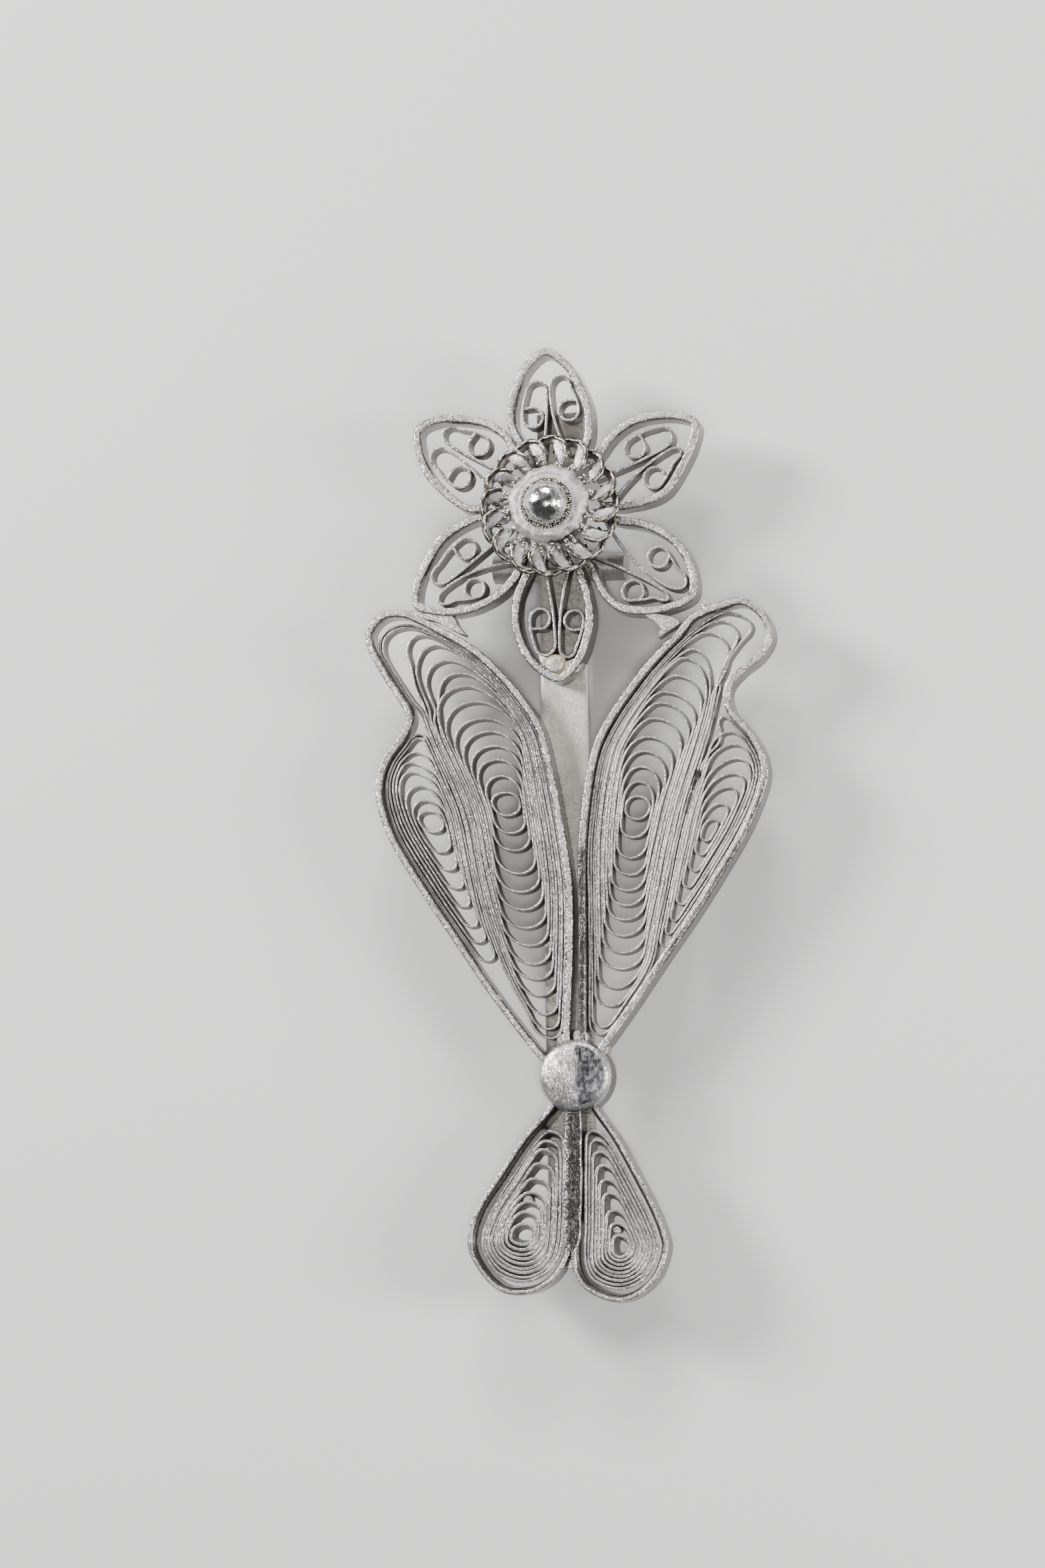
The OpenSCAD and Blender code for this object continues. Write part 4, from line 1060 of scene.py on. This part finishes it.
def grain_ring():
    """Fine grains in the seam between ball and collar."""
    parts = Parts()
    rng = np.random.default_rng(7)
    for row, count, low in ((0, 62, -0.08), (1, 54, -0.04)):
        for i in range(count):
            a = 2 * pi * (i + 0.5 * row + rng.uniform(-0.2, 0.2)) / count
            r = BALL_R - 0.02 + 0.13 * row + rng.uniform(-0.03, 0.05)
            at = (*polar(ROSETTE_AT, r, a), COLLAR_TOP + low + rng.uniform(0, 0.08))
            grain(parts, at, rng.uniform(0.05, 0.09), i * 3.7 + row)
    parts.make("ball_grains", [GRAINS], sharp=80)


rosette()
grain_ring()

# ---------------------------------------------------------------- solder

JOINT_MATERIALS, STAINED, FROSTED, DIRT_AND_SHADE = [SOLDER, STAIN, FROST, ROPE], 1, 2, 3


def pool(parts, outline, top, depth, seed, dome=0.0, mat=0, wear=0.1, deep=0.0):
    """Solder that has run into a corner: level with the wires it joins, rounded at its rim."""
    edge = clockwise(soften(even(closed_curve(outline, 8), 0.12, True), 2, True))[::-1]
    centre, n = edge.mean(axis=0), len(edge)
    rings = [(1.0, -depth), (1.0, -0.16), (0.97, -0.06), (0.9, 0.0), (0.72, 0.55 * dome), (0.5, 0.85 * dome),
             (0.25, dome)]
    verts = []
    for k, dz in rings:
        for q in edge:
            x, y = centre + (q - centre) * k
            verts.append((x, y, top + dz + 0.05 * noise_at(x * 1.7, y * 1.7, seed) * (dz > -0.2)))
    verts.append((centre[0], centre[1], top + dome))
    last, tip = (len(rings) - 1) * n, len(rings) * n
    cap = [(last + j, last + (j + 1) % n, tip) for j in range(n)]
    faces = [tuple(reversed(range(n)))] + quads(len(rings), n, closed=False, flip=True) + cap
    parts.add(verts, faces, wear, deep, mat)


def round_spot(x, y, r, out):
    return [(x + (r + out * sin(3 * a + x)) * cos(a), y + (r + out * cos(2 * a)) * sin(a))
            for a in np.linspace(0, 2 * pi, 10, endpoint=False)]


POOL_TOP = FRAME_TOP - 0.04
# outline, top, depth, seed and what else differs
POOLS = [
    # petals to leaves
    ([(-12.2, 16.2), (-10.9, 16.0), (-9.4, 15.9), (-8.7, 15.45), (-8.45, 14.9), (-7.8, 14.1), (-8.8, 14.5),
      (-10.1, 15.2), (-11.7, 15.6), (-12.6, 15.7)], POOL_TOP - 0.1, 0.9, 1.0, {}),
    ([(5.9, 15.4), (6.9, 15.4), (8.2, 15.1), (8.7, 14.6), (7.8, 14.0), (7.0, 13.5), (7.15, 14.2), (6.8, 14.7)],
     POOL_TOP - 0.12, 0.9, 2.0, {}),
    ([(10.5, 16.4), (10.8, 16.1), (11.8, 15.9), (11.7, 15.5), (10.7, 15.5), (10.2, 15.9)],
     POOL_TOP, 0.9, 3.0, {"wear": 0.6}),
    # the tip of the lowest petal, with a lump on it in a stained ring
    ([(-2.3, 12.7), (-2.0, 12.4), (-1.4, 12.4), (-0.9, 12.6), (-0.6, 12.4), (-0.3, 12.0), (0.3, 11.9),
      (0.8, 12.1), (1.1, 12.5), (1.2, 12.0), (0.8, 11.1), (-0.3, 10.6), (-1.2, 10.7), (-2.0, 11.4)],
     SCROLL_TOP - 0.12, 1.2, 4.0, {}),
    (round_spot(-0.9, 11.75, 0.84, 0.05), SCROLL_TOP - 0.05, 0.3, 5.0, {"mat": STAINED}),
    (round_spot(-0.92, 11.76, 0.72, 0.04), SCROLL_TOP + 0.02, 0.3, 6.0, {"dome": 0.06}),
    # beside the button
    ([(1.8, -16.7), (2.0, -16.6), (2.4, -16.8), (3.0, -16.8), (3.4, -16.5), (3.6, -17.0), (3.4, -17.7),
      (2.8, -17.5)], POOL_TOP - 0.2, 1.2, 7.0, {}),
    ([(1.0, -15.9), (2.0, -16.0), (2.1, -16.7), (1.1, -16.8)], POOL_TOP, 1.2, 8.0, {}),
    ([(-0.2, -16.2), (0.4, -16.1), (0.5, -16.9), (-0.3, -17.0)], POOL_TOP - 0.1, 1.2, 8.5, {}),
    # in the tail, and a brown mark on the left leaf's frame
    ([(-2.9, -28.45), (-2.7, -28.1), (-2.4, -28.0), (-2.15, -28.2), (-2.05, -28.55), (-2.3, -28.6),
      (-2.6, -28.55)], COIL_TOP - 0.2, 0.8, 9.0, {"mat": FROSTED}),
    ([(3.95, -30.7), (4.05, -30.35), (4.3, -30.25), (4.55, -30.4), (4.7, -30.75), (4.5, -30.78),
      (4.2, -30.78)], COIL_TOP - 0.2, 0.8, 10.0, {"mat": FROSTED}),
    ([(0.9, -32.9), (1.1, -32.6), (1.3, -32.9), (1.4, -33.5), (1.1, -33.3), (0.75, -33.5)],
     POOL_TOP - 0.1, 1.4, 11.0, {}),
    ([(-4.95, -13.1), (-4.8, -13.15), (-4.5, -13.55), (-4.55, -13.65), (-4.75, -13.5), (-4.95, -13.25)],
     FRAME_TOP + 0.02, 0.2, 12.0, {"mat": STAINED}),
    # dark brown pools in the crease between the right leaf's two coils: dirt, darkened fully by painted shade
    ([(10.2, 3.7), (9.92, 3.5), (9.87, 3.0), (9.7, 2.4), (9.58, 2.02), (9.78, 2.0), (9.89, 2.3),
      (10.13, 2.88), (10.33, 3.35)], COIL_TOP + 0.02, 0.2, 13.0, {"mat": DIRT_AND_SHADE, "deep": 1.0}),
    ([(9.52, 1.9), (9.34, 1.1), (9.19, 0.34), (9.27, 0.24), (9.42, 0.79), (9.54, 1.29), (9.67, 1.8)],
     COIL_TOP + 0.02, 0.2, 14.0, {"mat": DIRT_AND_SHADE, "deep": 0.9}),
]


def solder():
    parts = Parts()
    for outline, top, depth, seed, more in POOLS:
        pool(parts, outline, top, depth, seed, **more)
    parts.make("solder_joints", JOINT_MATERIALS, sharp=50)


solder()


def strip():
    """The back strip, whose length runs 1.75 degrees to the left of +Y."""
    parts = Parts()
    w, l, h = 3.7, 61.3, 0.6
    a = radians(1.75)
    along = np.array([-sin(a), cos(a)])
    line = np.array([-0.27, 0.77]) + np.linspace(-l / 2, l / 2, 240)[:, None] * along
    foot = np.array([(-w / 2 + 0.06, 0.0), (-w / 2, 0.06), (-w / 2, h - 0.1), (-w / 2 + 0.04, h - 0.03)])
    top = [(x, h - 0.015 * cos(x)) for x in np.linspace(-w / 2 + 0.12, w / 2 - 0.12, 13)]
    sec = np.vstack([foot, top, foot[::-1] * (-1, 1)])

    def warp(s, side, height):
        dh = np.zeros_like(side)
        for i, j in zip(*np.nonzero(height > 0.3)):
            dh[i, j] = 0.02 * noise_at(side[i, j] * 0.8, s[i] * 0.35, 3.0) - 0.012
        edge = np.sign(side) * smooth_noise(s, 6, 77, 0.02)[:, None] * (np.abs(side) > w / 2 - 0.1)
        return edge - np.sign(side) * 0.01, dh
    sweep(parts, line, STRIP_Z, np.insert(sec, [2, 2], (0.2, 0.0), axis=1), warp=warp)
    parts.make("strip_bar", [STRIP], replaces=("back_strip",))


strip()

for node in ("pin", "catch"):
    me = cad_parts[node].data
    me.materials.clear()
    me.materials.append(PLAIN)


# ---------------------------------------------------------------- floor and light

def floor():
    me = bpy.data.meshes.new("floor")
    r = 0.6
    me.from_pydata([(-r, -r, 0), (r, -r, 0), (r, r, 0), (-r, r, 0)], [], [(0, 1, 2, 3)])
    mat, _, bsdf = new_material("floor_pale")
    bsdf.inputs["Base Color"].default_value = (0.58, 0.575, 0.565, 1)
    bsdf.inputs["Roughness"].default_value = 0.85
    me.materials.append(mat)
    ob = placed("floor", me)


floor()
world = bpy.data.worlds.new("studio")
world.use_nodes = True
background = world.node_tree.nodes["Background"].inputs
background["Color"].default_value = (0.92, 0.94, 1.0, 1)
background["Strength"].default_value = 0.26
bpy.context.scene.world = world
area_light("key", (-260, 120, 190), (90, 120), 2.2)
area_light("front", (80, -60, 320), (50, 50), 0.45)
area_light("right", (280, -20, 150), (70, 140), 1.3)
area_light("behind", (0, 300, 200), (120, 60), 1.0)
place_camera()
